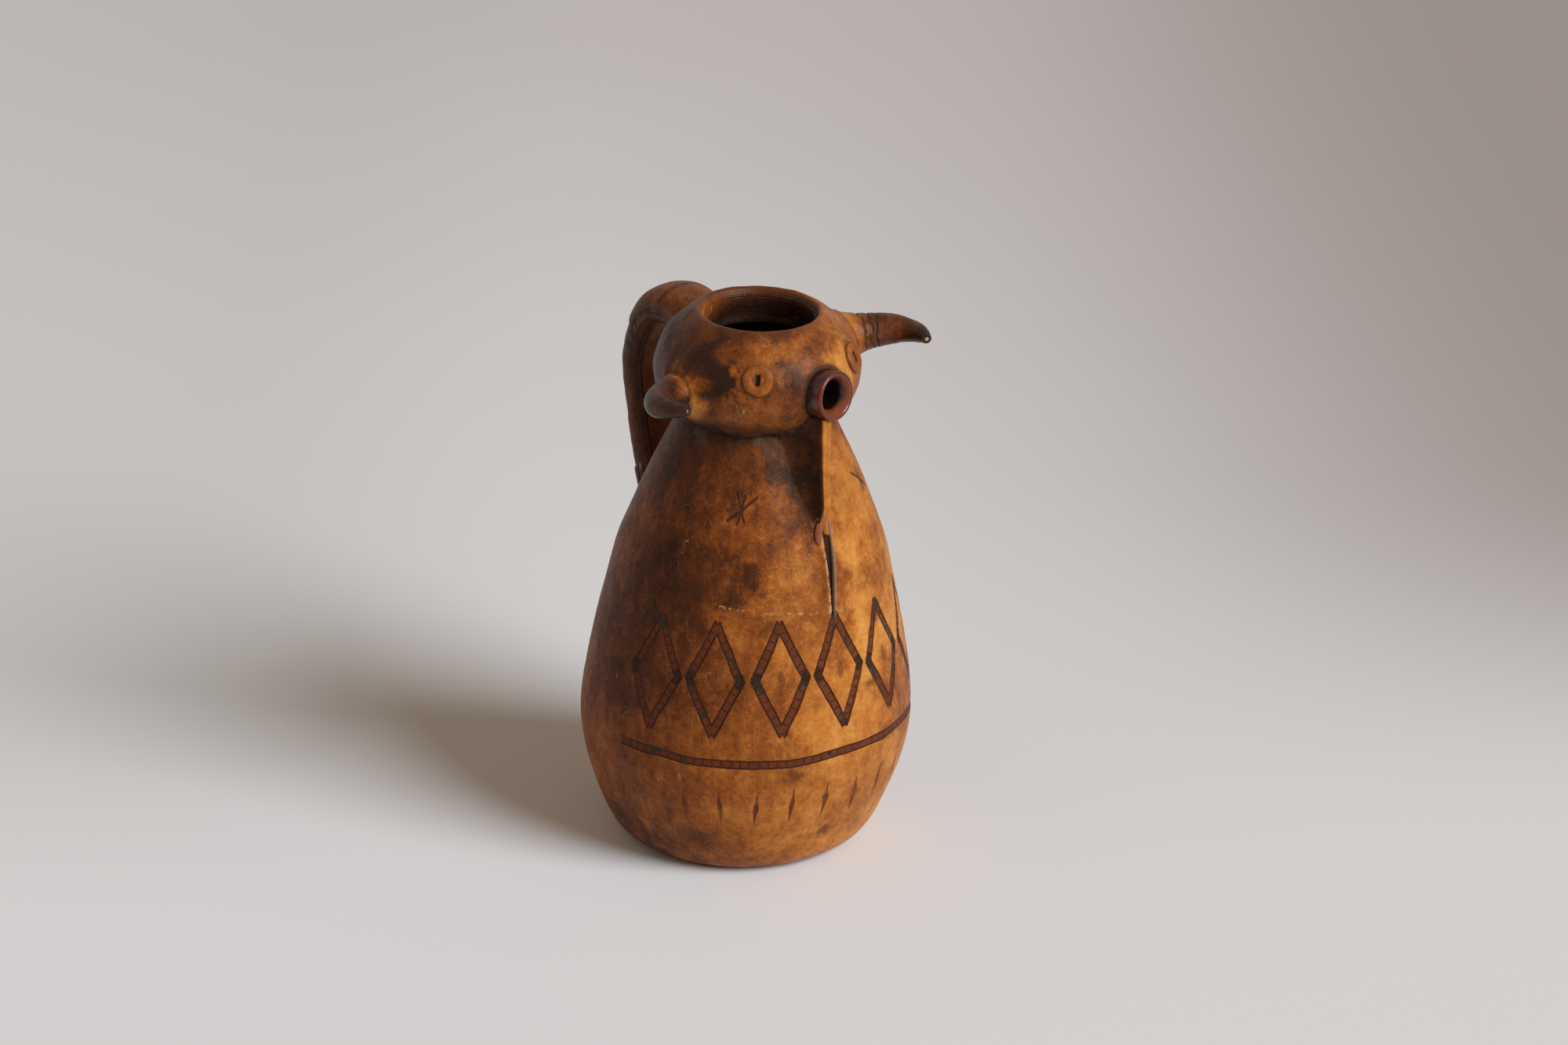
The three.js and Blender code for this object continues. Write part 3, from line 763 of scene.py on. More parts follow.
def body_tone(finish):
    """Darker to the neck and to the bull's right, golden beside the dewlap on its left, with a painted
    shadow beside the dewlap on its right and painted light low on the front.
    """
    x, y, z = finish.x, finish.y, finish.z
    turn, behind = finish.around()
    azimuth = turn + finish.blotch(26, 6, 21, 0.68) * 60
    height = z + finish.blotch(24, 6, 22, 0.68) * 60
    front = fall(behind, 0, 58)
    neck = rise(height, 120, 215) * 0.28
    side = rise(-azimuth, 20, 95) * front * 0.10
    belly = rise(height, 70, 96) * fall(height, 126, 152) * fall(azimuth, -62, -30) * front * 0.2
    # Darker just right of the dewlap: painted shadow of the dewlap.
    beside = rise(x, -12, -6) * fall(x, -2.7, -1.9) * rise(z, 166, 190) * fall(y, -20, -19) * 0.2
    golden = rise(azimuth, -4, 16) * fall(azimuth, 40, 85) * rise(height, 86, 130)
    fin = fall(y, -59, -57) * rise(z, 170, 180) * rise(x, -2.6, -1.6)
    # Paler low down, most on the front towards the bull's left: partly the leather's tone and partly
    # painted light.
    foot = fall(height, 30, 76) * (rise(azimuth, -40, 30) * front * 0.18 + 0.05)
    clouds = stains_light_and_shade(azimuth, height, BODY_STAINS_LIGHT_AND_SHADE) * front
    back = (1 - front) * 0.08
    return neck + side + belly + beside + back - most(golden, fin) * 0.44 - foot + clouds


def body_marks(finish, parts):
    """Ornament, painted shade, glue and wax at the neck, the raw slit, scuffs and smudges."""
    turn, _ = finish.around()
    azimuth = turn + finish.blotch(9, 2, 31) * 0.9
    height = finish.z + finish.blotch(12, 2, 32) * 1.6
    uneven = finish.cloud(8, 3, 36, 0.6)
    worn = finish.cloud(2.2, 2, 35)
    colour, whole, depth = burn_ornament(finish, parts["colour"], azimuth, height, uneven, worn)
    colour = neck_shade_glue_and_wax(finish, colour, azimuth, uneven)
    colour, raw = bare_slit(finish, colour, uneven, worn)
    scuff = fall(abs(height - 140.5 + (azimuth + 28) * 0.13), 0.2, 0.9) * fall(abs(azimuth + 26), 22, 34)
    colour = finish.mix(scuff * rise(worn, 0.45, 0.6) * rise(uneven, 0.4, 0.52) * 0.6, colour, RAW)
    edges = finish.blotch(6, 3, 39, 0.6)
    for turn, at, size in SMUDGES:
        away = span((azimuth - turn) * 1.3, (height - at) * 1.6)
        smudge = fall(away + edges * size * 3, size * 0.3, size * 1.5)
        colour = finish.mix(smudge * 0.7, colour, SMUDGE)
    # Darker over the last few millimetres above the floor.
    colour = finish.mix(fall(finish.z, 0.8, 3.0) * 0.5, colour, UMBER)
    rough = parts["rough"] + whole * 0.1 + raw * 0.2
    return {"colour": colour, "rough": rough, "relief": parts["relief"] - depth}


def burn_ornament(finish, colour, azimuth, height, uneven, worn):
    """The colour with the ornament burned in, the ornament's strokes and its depth."""
    whole, dark, mark = lozenges(azimuth, height)
    line, line_dark = border(azimuth, height)
    whole, dark = most(whole, line), most(dark, line_dark)
    spindle = ticks(azimuth, height)
    star = stars(azimuth, height)
    colour = finish.mix(whole * (0.75 + worn * 0.4), colour, BURNED)
    colour = finish.mix(dark * (0.62 + worn * 0.6), colour, INK)
    colour = finish.mix(whole * rise(uneven, 0.55, 0.63) * 0.92, colour, GREENISH)
    colour = finish.mix(mark * (0.3 + uneven * 0.4), colour, BROWN)
    colour = finish.mix(rise(spindle, 0.05, 0.5) * (0.4 + uneven * 0.6), colour, REDDENED)
    colour = finish.mix(rise(spindle, 0.75, 1) * rise(uneven, 0.4, 0.62) * 0.6, colour, INK)
    colour = finish.mix(star * 0.85, colour, UMBER)
    depth = whole * 0.35 + dark * 0.18 + spindle * 0.35 + star * 0.4 + mark * 0.2
    return colour, whole, depth


def neck_shade_glue_and_wax(finish, colour, azimuth, uneven):
    """Painted shade in the crease under the head, glue there, and one pale blob of wax."""
    z = finish.z
    off_fin = rise(finish.y, -57, -53)
    # Painted shade in the crease under the head's lap.
    crease = rise(z + finish.blotch(10, 3, 37) * 12, 205, 219) * off_fin
    colour = finish.mix(crease * 0.75, colour, UMBER)
    glue = rise(z, 208, 217) * rise(finish.cloud(13, 3, 38), 0.5, 0.62) * off_fin
    colour = finish.mix(glue * 0.6, colour, GLUE)
    blob = fall(span((azimuth + 34) * 0.6, z - 216.5) + (uneven - 0.5) * 6, 0.6, 3.6) * off_fin
    return finish.mix(blob * 0.5, colour, PALE_WAX)


def bare_slit(finish, colour, uneven, worn):
    """The colour with the slit's raw left lip, and a pale line along the edge of its right lip that is
    partly wear and partly painted highlight.
    """
    z = finish.z
    before = fall(finish.y, -20, -19)
    off = finish.x - slit_middle(z) + finish.blotch(4, 2, 34) * 1.2
    past = off - slit_gap(z)
    in_height = rise(z, SLIT_FOOT - 1, SLIT_FOOT + 8) * fall(z, SLIT_TOP - 6, SLIT_TOP)
    raw = rise(past, 0.1, 0.4) * fall(past, 1.3, 2.1) * in_height * before
    colour = finish.mix(raw * (0.35 + uneven * 0.6), colour, RAW_EDGE)
    # Pale line on the right lip's edge: partly wear, partly painted highlight.
    pale = fall(abs(off + 0.9), 0.4, 1.4) * rise(z, 133, 139) * fall(z, 158, 176) * before
    return finish.mix(pale * rise(worn, 0.35, 0.6) * 0.8, colour, RAW), raw


def head_tone(finish):
    """Golden on the muzzle, the cheeks and where the horns leave, dark at the temples, with a painted
    highlight on the skin beside the right horn.
    """
    x, y, z = finish.x, finish.y, finish.z
    turn, behind = finish.around()
    azimuth = turn + finish.blotch(18, 6, 41, 0.68) * 60
    height = z + finish.blotch(12, 6, 42, 0.68) * 24
    muzzle = fall(abs(azimuth + 8), 14, 56) * fall(height, 236, 254)
    round_eye = fall(span((azimuth + 32) * 0.8, height - EYE_HEIGHT - 1), 5, 19)
    left_side = rise(azimuth, -20, 26) * fall(azimuth, 90, 125)
    temple = rise(-azimuth, 40, 56) * fall(-azimuth, 66, 88) * rise(height, 230, 245)
    horn = fall(span(span(abs(x) - 42, y + 13), (z - (x * 0.092 + 240.5)) * 0.9), 6, 17)
    pale = most(most(muzzle * 0.9, round_eye * 0.8), most(left_side * 0.8, horn * 1.4))
    # Beside the right horn the stretched skin is golden, lightened further as a painted highlight.
    horn_skin_highlight = fall(span(span(x + 43, y + 20), z - 233.5), 4, 14) * 0.6
    cheek = rise(-azimuth, 58, 80) * fall(-azimuth, 120, 150) * 0.14
    outside = temple * 0.25 + cheek - pale * 0.34 - horn_skin_highlight + rise(abs(azimuth), 95, 135) * 0.09
    outside = outside + stains_light_and_shade(azimuth, height, HEAD_STAINS_LIGHT_AND_SHADE)
    # Inside the mouth the head's leather takes the throat's tone, with its painted shade.
    inside = fall(span(x, behind), 26.6, 28.6) * rise(z, 254, 258)
    return outside * (1 - inside) + (throat_tone(finish) - 0.22) * inside


def head_marks(finish, parts):
    """Painted shade in the crease under the jaw, glue and wax there, and a lip that is paler, partly from
    wear and partly as painted highlight.
    """
    z = finish.z
    colour = parts["colour"]
    # Painted shade in the crease under the jaw.
    jaw = fall(z + finish.blotch(9, 3, 44) * 14, 221, 233)
    colour = finish.mix(jaw * 0.75, colour, UMBER)
    glue = fall(z, 220, 227) * rise(finish.cloud(12, 3, 45), 0.5, 0.62)
    colour = finish.mix(glue * 0.5, colour, GLUE)
    # Paler lip: partly wear, partly painted highlight.
    lip = rise(z + finish.blotch(8, 3, 46) * 6, 262, 269)
    colour = finish.mix(lip * 0.35, colour, TAN)
    return {"colour": colour, "rough": parts["rough"] - lip * 0.06, "relief": parts["relief"]}


def throat_tone(finish):
    """Darker down the throat and to the bull's left: painted shade inside the mouth."""
    return fall(finish.z, 251, 265) * 0.55 + rise(finish.x, -18, 12) * 0.45


def horn_tone(finish):
    """Golden at the root, dark at the wrinkles and at the tips, and darker under the right horn as painted
    shade.
    """
    along = finish.attribute("along")
    place = along + finish.blotch(9, 2, 84) * 0.12
    bands = rise(place, 0.28, 0.42) * 0.2 + rise(place, 0.7, 0.95) * 0.14
    # Painted shade on the right horn's underside.
    under = fall(finish.z + finish.x * 0.05, 234, 238.5) * fall(finish.x, -30, -20) * 0.55
    return bands + under - fall(place, 0.14, 0.36) * 0.28


def handle_tone(finish):
    """Lighter on the crest, partly wear and partly painted highlight, with one dark stain across it."""
    # Lighter on the crest: painted highlight, with wear.
    crest = rise(finish.z + finish.blotch(9, 3, 62) * 12, 246, 260) * 0.24
    stain = fall(abs(finish.y - 50 + finish.blotch(7, 4, 63) * 9), 0.2, 2.4) * rise(finish.z, 247, 255)
    return stain * 0.24 - crest


body_leather = leather("oiled_body_leather", 1, 0.47, 0.44, body_tone, body_marks, gloss=0.14)
head_leather = leather("dark_head_leather", 43, 0.73, 0.40, head_tone, head_marks)
handle_leather = leather("dark_handle_leather", 61, 0.86, 0.42, handle_tone, patchy=0.8)
strip_leather = leather("red_brown_strip_leather", 71, 0.66, 0.5, patchy=0.7)
horn_leather = leather("horn_leather", 81, 0.62, 0.34, horn_tone, patchy=1.5, gloss=0.3)
eye_leather = leather("eye_leather", 91, 0.50, 0.44, patchy=0.6)
lining_leather = leather("throat_leather", 101, 0.48, 0.28, throat_tone)
leaf_leather = leather("curled_leaf_leather", 161, 0.4, 0.45, patchy=0.6, tones=LEAF_TONES)
sole_leather = leather("flesh_side_leather", 111, 0.5, 0.8, tones=FLESH_TONES)


def glazed():
    """Thick brown glaze, redder where it thins over the edge of the lip, and darkest down the bore, partly
    as painted shade.
    """
    finish = Finish("brown_glaze")
    streaks = finish.cloud(5, 3, 121, 0.5)
    specks = finish.cloud(1.2, 2, 122)
    forward = (streaks - 0.5) * 2 - finish.y
    colour = finish.mix(rise(streaks, 0.4, 0.65), GLAZE_BLACK, GLAZE_BROWN)
    colour = finish.mix(rise(forward, 62.6, 64.6), colour, GLAZE_RED)
    colour = finish.mix(rise(specks, 0.6, 0.75) * 0.35, colour, GLAZE_SPECK)
    aside = finish.x - SPOUT_TIP[0] - (finish.y - SPOUT_TIP[1]) * math.tan(SPOUT_TURN)
    inside = fall(span(aside, finish.z - SPOUT_TIP[2]), SPOUT_RADIUS - 2.4, SPOUT_RADIUS - 1.6)
    # Inside the bore: red glaze near the mouth, turning black deeper in, partly as painted shade.
    bore = finish.mix(rise(forward, 59.5, 62.5), BORE_BLACK, BORE_RED)
    colour = finish.mix(inside, colour, bore)
    plain = {"Specular IOR Level": 0.3, "Coat Weight": 0.15, "Coat Roughness": 0.08}
    return finish.cover(colour, 0.14 + specks * 0.18, streaks * 0.25 + specks * 0.05, plain)


def fired_clay():
    """Red clay, dark and shiny with glaze wherever it faces the inside."""
    finish = Finish("clay_and_inner_glaze")
    facing = finish.node("ShaderNodeNewGeometry").pick("Normal")
    flat = {0: finish.place, 1: (1, 1, 0)}
    outwards = finish.node("ShaderNodeVectorMath", {"operation": "MULTIPLY"}, flat)
    turned = finish.node("ShaderNodeVectorMath", {"operation": "DOT_PRODUCT"}, {0: facing, 1: outwards})
    bare = rise(turned.pick("Value"), -1, 1)
    grit = finish.cloud(2.5, 4, 131, 0.6)
    tone = finish.cloud(25, 2, 132)
    clay = finish.mix(rise(grit, 0.35, 0.7), CLAY_PALE, CLAY_DARK)
    glaze = finish.mix(rise(tone + grit * 0.3, 0.5, 0.75), THROAT_BLACK, THROAT_BROWN)
    colour = finish.mix(bare, glaze, clay)
    return finish.cover(colour, 0.42 + bare * 0.4 + grit * 0.1, grit * 0.2, {"Specular IOR Level": 0.12})


def peg_wood():
    """Pale end grain with split fibres."""
    finish = Finish("pale_peg_wood")
    fibres = finish.cloud(0.5, 3, 141, 0.6, (1, 0.2, 1))
    tone = finish.cloud(2.5, 2, 142)
    colour = finish.mix(fibres, WOOD_PALE, WOOD_DARK)
    colour = finish.mix(rise(tone, 0.5, 0.7) * 0.5, colour, WOOD_STAIN)
    return finish.cover(colour, 0.7 + fibres * 0.2, fibres * 0.3)


spout_glaze = glazed()
jug_clay = fired_clay()
wood = peg_wood()


# The leather over the body

def body_swell(azimuth, radius, height):
    """How far the body's leather stands off its turned form, in millimetres, and its shade."""
    x = radius * np.sin(np.radians(azimuth))
    front = np.abs(azimuth) < 90
    at = settle(x, -radius * np.cos(np.radians(azimuth)), height)
    swell = 0.35 * dents(at, 46, 1) + 0.13 * dents(at, 14, 2)
    swell = swell - front * hollow(x, height) * (1 - rise(height, 214, 222) * 0.6)
    off = x - slit_middle(height)
    past = off - slit_gap(height)
    opened = front * rise(height, SLIT_FOOT, SLIT_FOOT + 9) * fall(height, SLIT_TOP - 5, SLIT_TOP)
    groove = fall(past, -0.2, 1.1) * rise(off, -0.5, -0.1)
    curl = rise(height, 140, 158) * fall(height, 170, 178)
    lips = 0.35 * bell(past - 2.6, 1.7) + (0.4 + 0.6 * curl) * bell(off + 2.0, 1.5)
    swell = (swell + opened * lips) * (1 - groove * opened) - DEEPEST_DENT * groove * opened
    swell = swell - 0.5 * ~front * bell(x, 0.8)
    row, line = lozenges(azimuth, height)[0], border(azimuth, height)[0]
    swell = swell - 0.3 * np.maximum(row, line) - 0.25 * ticks(azimuth, height)
    # The shade is painted shade: deep in the open slit, in the groove down the back and under the head's
    # lap.
    seam_shade = 0.6 * ~front * bell(x, 0.7)
    shade = opened * rise(groove, 0.3, 0.62) * 0.95 + seam_shade + 0.5 * rise(height, 214, 220)
    return np.maximum(swell, -DEEPEST_DENT), shade


def dewlap_rings():
    """Rings of the dewlap from its foot to the spout."""
    heights = np.concatenate([np.linspace(170.5, 190, 22), np.linspace(191.5, 229.6, 32)])
    rings = []
    table = np.array(DEWLAP_FRONT)
    t = np.linspace(0, 1, 14)[:, None]
    corner = np.array([(0, 0.982), (0.10, 1.0), (0.35, 1.006), (0.62, 1.0), (0.83, 0.985), (0.95, 0.962)])
    for height in heights:
        front = -np.interp(height, table[:, 0], table[:, 1])
        wide = 6.5 + 4.5 * rise(height, 176, 200)
        edge = DEWLAP_HALF * (0.55 + 0.45 * rise(height, 172, 184))
        start, bend, end = np.array([[edge, 0.93], [edge + 0.25, 0.06], [wide, 0.0]])
        flank = (1 - t) ** 2 * start + 2 * t * (1 - t) * bend + t**2 * end
        half = np.vstack([corner * (edge, 1), flank])
        side = np.concatenate([-half[::-1, 0], half[1:, 0]])
        share = np.concatenate([half[::-1, 1], half[1:, 1]])
        lean_over = 0.35 * math.sin(height * 0.09) + slit_middle(min(height, SLIT_TOP)) * 0.6
        y = lap_front(side, height)
        line = np.stack([side + lean_over * share, y + (front - y) * share], 1)
        back = lap_front(wide, height) + 1.6
        ring = np.vstack([line, [(wide - 0.5, back), (0.5 - wide, back)]])
        rings.append(np.column_stack([ring, np.full(len(ring), height)]))
    return np.array(rings)


def lap_front(x, height):
    """Where the front of the leather is at a distance from the middle and a height."""
    body = body_radius(min(height, 219))
    radius = body - 0.6
    blend = 2.5
    if height > 214:
        both = np.exp(body / blend)
        if height > HEAD_FOOT:
            both = both + np.exp((head_radius(height) - 0.4) / blend)
        radius = np.log(both) * blend - 0.5
    sunk = hollow(x, height) * (height < 216)
    return axis_y(height) - np.sqrt(np.maximum(radius**2 - np.square(x), 1)) + sunk


def make_body():
    outer = spaced(body_line[body_line[:, 1] < NECK_HEIGHT - GAP], 205)
    azimuths = crowded_azimuths(352, 5.0, 0.13)[:-1]
    points, faces, shade = turned_hide(outer, HIDE, 14, azimuths, body_swell)
    fin, fin_faces = with_caps(dewlap_rings()[:, ::-1], len(points))
    shade = np.concatenate([shade, np.zeros(len(fin))])
    points, faces = np.vstack([points, fin]), faces + fin_faces
    make_piece("body_leather", points, faces, body_leather, "hide", ["body_hide"], shade)
    make_piece("slit_leaf_leather", *with_caps(leaf_rings()), leaf_leather, "hide")


def leaf_rings():
    """Rings of the small leaf of leather that is folded back beside the top of the slit."""
    rings = []
    s = np.linspace(0, 1, 11)
    for t in np.linspace(0, 1, 22):
        height = LEAF_FOOT + LEAF_HEIGHT * t
        reach = LEAF_REACH * math.sin(math.pi * (0.05 + 0.9 * t)) ** 0.8
        x = slit_middle(height) + 1.3 - 4.2 * (1 - t) - reach * s
        lift = 0.5 + 1.9 * np.sin(math.pi * (0.1 + 0.75 * s)) * (reach / LEAF_REACH)
        line = np.stack([x, lap_front(x, height) - lift], 1)
        way = np.gradient(line, axis=0)
        way /= np.linalg.norm(way, axis=1)[:, None]
        half = (0.65 - 0.35 * s)[:, None] * np.stack([-way[:, 1], way[:, 0]], 1)
        ring = np.vstack([line + half, (line - half)[::-1]])
        rings.append(np.column_stack([ring, np.full(len(ring), height)]))
    return np.array(rings)


# The leather over the head

def horn_root(side):
    """Azimuth, height and place where a horn's middle line leaves the head."""
    line = horn_path(side, 60)
    azimuth, radius, height = upright(line)
    k = int(np.argmax(radius > head_radius(height)))
    return azimuth[k], height[k], line[k]


def horn_path(side, count):
    root, bend, tip = (np.array([a, axis_y(c) - b, c]) for a, b, c in HORNS[side])
    t = np.linspace(0, 1, count)[:, None]
    return (1 - t) ** 2 * root + 2 * t * (1 - t) * bend + t**2 * tip


def horn_flare(side, away):
    """How much wider a horn grows at a distance along it from where it leaves the head."""
    return 1 + HORN_FLARE[side] * np.exp(-np.maximum(away + 3, 0) / 5.0)


def off_horn(side, points):
    """How far points on the head lie outside a horn's foot."""
    _, _, root = horn_root(side)
    line = horn_path(side, 60)
    way = line[np.argmin(np.linalg.norm(line - root, axis=1)) + 1] - root
    way = way / np.linalg.norm(way)
    reach = points - root
    along = reach @ way
    girth = (HORN_ROOT[side] - 0.9) * horn_flare(side, along)
    away = np.linalg.norm(reach - along[..., None] * way, axis=-1) - girth
    return away + 40 * (np.abs(along) > 14)


def off_eye(azimuth, height, sign):
    """How far a place on the head is from the middle of an eye, in millimetres."""
    return np.hypot((azimuth - sign * EYE_TURN) * 0.8, height - EYE_HEIGHT)


def head_swell(azimuth, radius, height):
    """How far the head's leather stands off its turned form, and its shade."""
    a = np.radians(azimuth)
    at = settle(radius * np.sin(a), -radius * np.cos(a), height)
    swell = 0.5 * dents(at, 30, 4) + 0.22 * dents(at, 9, 5)
    for side in HORNS:
        _, _, root = horn_root(side)
        away = np.linalg.norm(at - root, axis=-1)
        turn = np.arctan2(at[..., 2] - root[2], at[..., 1] - root[1])
        pleats = np.sin(turn * 11 + 1.8 * np.sin(turn * 2 + away * 0.1)) * bell(away - 12, 4.5)
        swell = swell + 2.3 * bell(away - 6, 8) + 0.42 * pleats
    forward = np.array([math.sin(SPOUT_TURN), -math.cos(SPOUT_TURN), 0])
    reach = at - SPOUT_TIP
    muzzle = at[..., 1] < -20
    off_spout = np.linalg.norm(reach - (reach @ forward)[..., None] * forward, axis=-1) - 12
    swell = swell + muzzle * 0.7 * bell(off_spout, 3.0)
    # The shade is painted shade: under the head's lower edge, round the spout's root, round the eyes and
    # round the horns' roots.
    shade = 0.7 * fall(height, 218.5, 223) + 0.8 * muzzle * bell(off_spout, 1.3)
    for sign in (-1, 1):
        away = off_eye(azimuth, height, sign)
        swell = swell * (0.15 + 0.85 * rise(away, 7, 14)) - 1.2 * fall(away, 4.4, 6.4)
        shade = np.maximum(shade, 0.32 * bell(away - EYE_RADIUS, 1.2))
    for side in HORNS:
        shade = np.maximum(shade, 0.55 * bell(off_horn(side, at) - 0.3, 0.9))
    swell = swell * (1 - 0.75 * fall(radius, 27, 29) * rise(height, 257, 262))
    brow = bell(height - 259, 3.5) * np.sin(a * 5 + 0.7) * 0.25
    edge = 0.5 * np.sin(a * 7 + 0.4) + 0.4 * np.sin(a * 17 + 2) + 0.9 * dents(at, 6, 6)
    return swell + brow + edge * bell(height - 219, 2.5), shade


def make_head():
    outer = spaced(head_line, 142)
    azimuths = np.linspace(-180, 180, 361)[:-1]
    points, faces, shade = turned_hide(outer, HIDE, 14, azimuths, head_swell)
    piece = make_piece("head_leather", points, faces, head_leather, "head_hide", ["head_hide"], shade)
    cut_spout_hole(piece)


def spout_turn():
    """Turns and moves what is made round +Z onto the spout's own middle line."""
    turn = Matrix.Rotation(SPOUT_TURN, 4, "Z") @ Matrix.Rotation(math.pi / 2 - SPOUT_RISE, 4, "X")
    return Matrix.Translation(SPOUT_TIP * MM) @ turn


def applied(piece):
    """The piece's mesh as its modifiers leave it."""
    bpy.context.view_layer.update()
    return bpy.data.meshes.new_from_object(piece.evaluated_get(bpy.context.evaluated_depsgraph_get()))


def cut_spout_hole(piece):
    """Cuts the round hole through which the spout leaves the head."""
    sides = 96
    angles = np.linspace(0, 2 * math.pi, sides, endpoint=False)
    circle = (SPOUT_RADIUS + 0.2) * np.stack([np.cos(angles), np.sin(angles)], 1)
    rings = np.array([np.column_stack([circle, np.full(sides, z)]) for z in (-22, 8)])
    mesh = new_mesh("spout_hole", *with_caps(rings))
    mesh.transform(spout_turn())
    cutter = put_in_scene("spout_hole", mesh)
    modifier = piece.modifiers.new("hole", "BOOLEAN")
    modifier.operation = "DIFFERENCE"
    modifier.object = cutter
    whole, piece.data = piece.data, applied(piece)
    piece.modifiers.remove(modifier)
    bpy.data.meshes.remove(whole)
    bpy.data.objects.remove(cutter)
    bpy.data.meshes.remove(mesh)


def make_lining():
    """The golden band that lines the throat, with a torn lower edge."""
    outer = np.array([(26.1, z) for z in np.linspace(264.9, 251.8, 30)])
    outer[:, 0] -= 0.12 * rise(outer[:, 1], 256, 259) + 0.3 * fall(outer[:, 1], 252, 256)

    def swell(azimuth, radius, height):
        a = np.radians(azimuth)
        at = settle(radius * np.sin(a), -radius * np.cos(a), height)
        loose = 1 - 0.9 * rise(height, 256, 260)
        # Darker down the throat: painted shade.
        return (0.4 * dents(at, 12, 7) + 0.25 * dents(at, 4, 8)) * loose, 0.9 * fall(height, 251.5, 258)

    azimuths = np.linspace(-180, 180, 241)[:-1]
    points, faces, shade = turned_hide(outer, 2.2, 8, azimuths, swell)
    make_piece("throat_lining", points, faces, lining_leather, "head_hide", ["mouth_lining"], shade)


# Forms built by rules of their own

def new_form(name, inputs):
    """An empty tree of nodes for a form, with named inputs, as (tree, bench, entry node)."""
    tree = bpy.data.node_groups.new(name, "GeometryNodeTree")
    tree.interface.new_socket("Geometry", in_out="INPUT", socket_type="NodeSocketGeometry")
    for label, kind, value in inputs:
        socket = tree.interface.new_socket(label, in_out="INPUT", socket_type=kind)
        if value is not None:
            socket.default_value = value
    tree.interface.new_socket("Geometry", in_out="OUTPUT", socket_type="NodeSocketGeometry")
    bench = Bench(tree)
    entry = bench.node("NodeGroupInput")
    return tree, bench, entry


def finish_form(bench, entry, geometry):
    """The last steps of every form: real meshes with their material."""
    real = bench.node("GeometryNodeRealizeInstances", None, {"Geometry": geometry})
    smooth = bench.node("GeometryNodeSetShadeSmooth", None, {"Geometry": real})
    sockets = {"Geometry": smooth, "Material": entry.pick("Finish")}
    done = bench.node("GeometryNodeSetMaterial", None, sockets)
    end = bench.tree.nodes.new("NodeGroupOutput")
    bench.tree.links.new(done.socket, end.inputs[0])


def grow_form(name, tree, line, settings):
    """Runs a form on a line of points in millimetres and leaves the result as a plain mesh."""
    mesh = new_mesh(name, line, [], [(i, i + 1) for i in range(len(line) - 1)])
    piece = put_in_scene(name, mesh)
    modifier = piece.modifiers.new("form", "NODES")
    modifier.node_group = tree
    for item in tree.interface.items_tree:
        if item.item_type == "SOCKET" and item.in_out == "INPUT" and item.name in settings:
            modifier[item.identifier] = settings[item.name]
    piece.data = applied(piece)
    piece.modifiers.remove(modifier)
    bpy.data.meshes.remove(mesh)
    return piece


def turned_tree():
    """An outline turned round an upright axis, as on a wheel."""
    tree, bench, entry = new_form("turned_on_a_wheel", [
        ("Segments", "NodeSocketInt", 64),
        ("Finish", "NodeSocketMaterial", None),
    ])
    outline = bench.node("GeometryNodeMeshToCurve", None, {"Mesh": entry})
    sockets = {"Resolution": entry.pick("Segments"), "Radius": 0.001 * MM}
    wheel = bench.node("GeometryNodeCurvePrimitiveCircle", None, sockets)
    turned = bench.node("GeometryNodeCurveToMesh", None, {"Curve": wheel, "Profile Curve": outline})
    sockets = {"Geometry": turned, "Distance": 0.01 * MM}
    finish_form(bench, entry, bench.node("GeometryNodeMergeByDistance", None, sockets))
    return tree


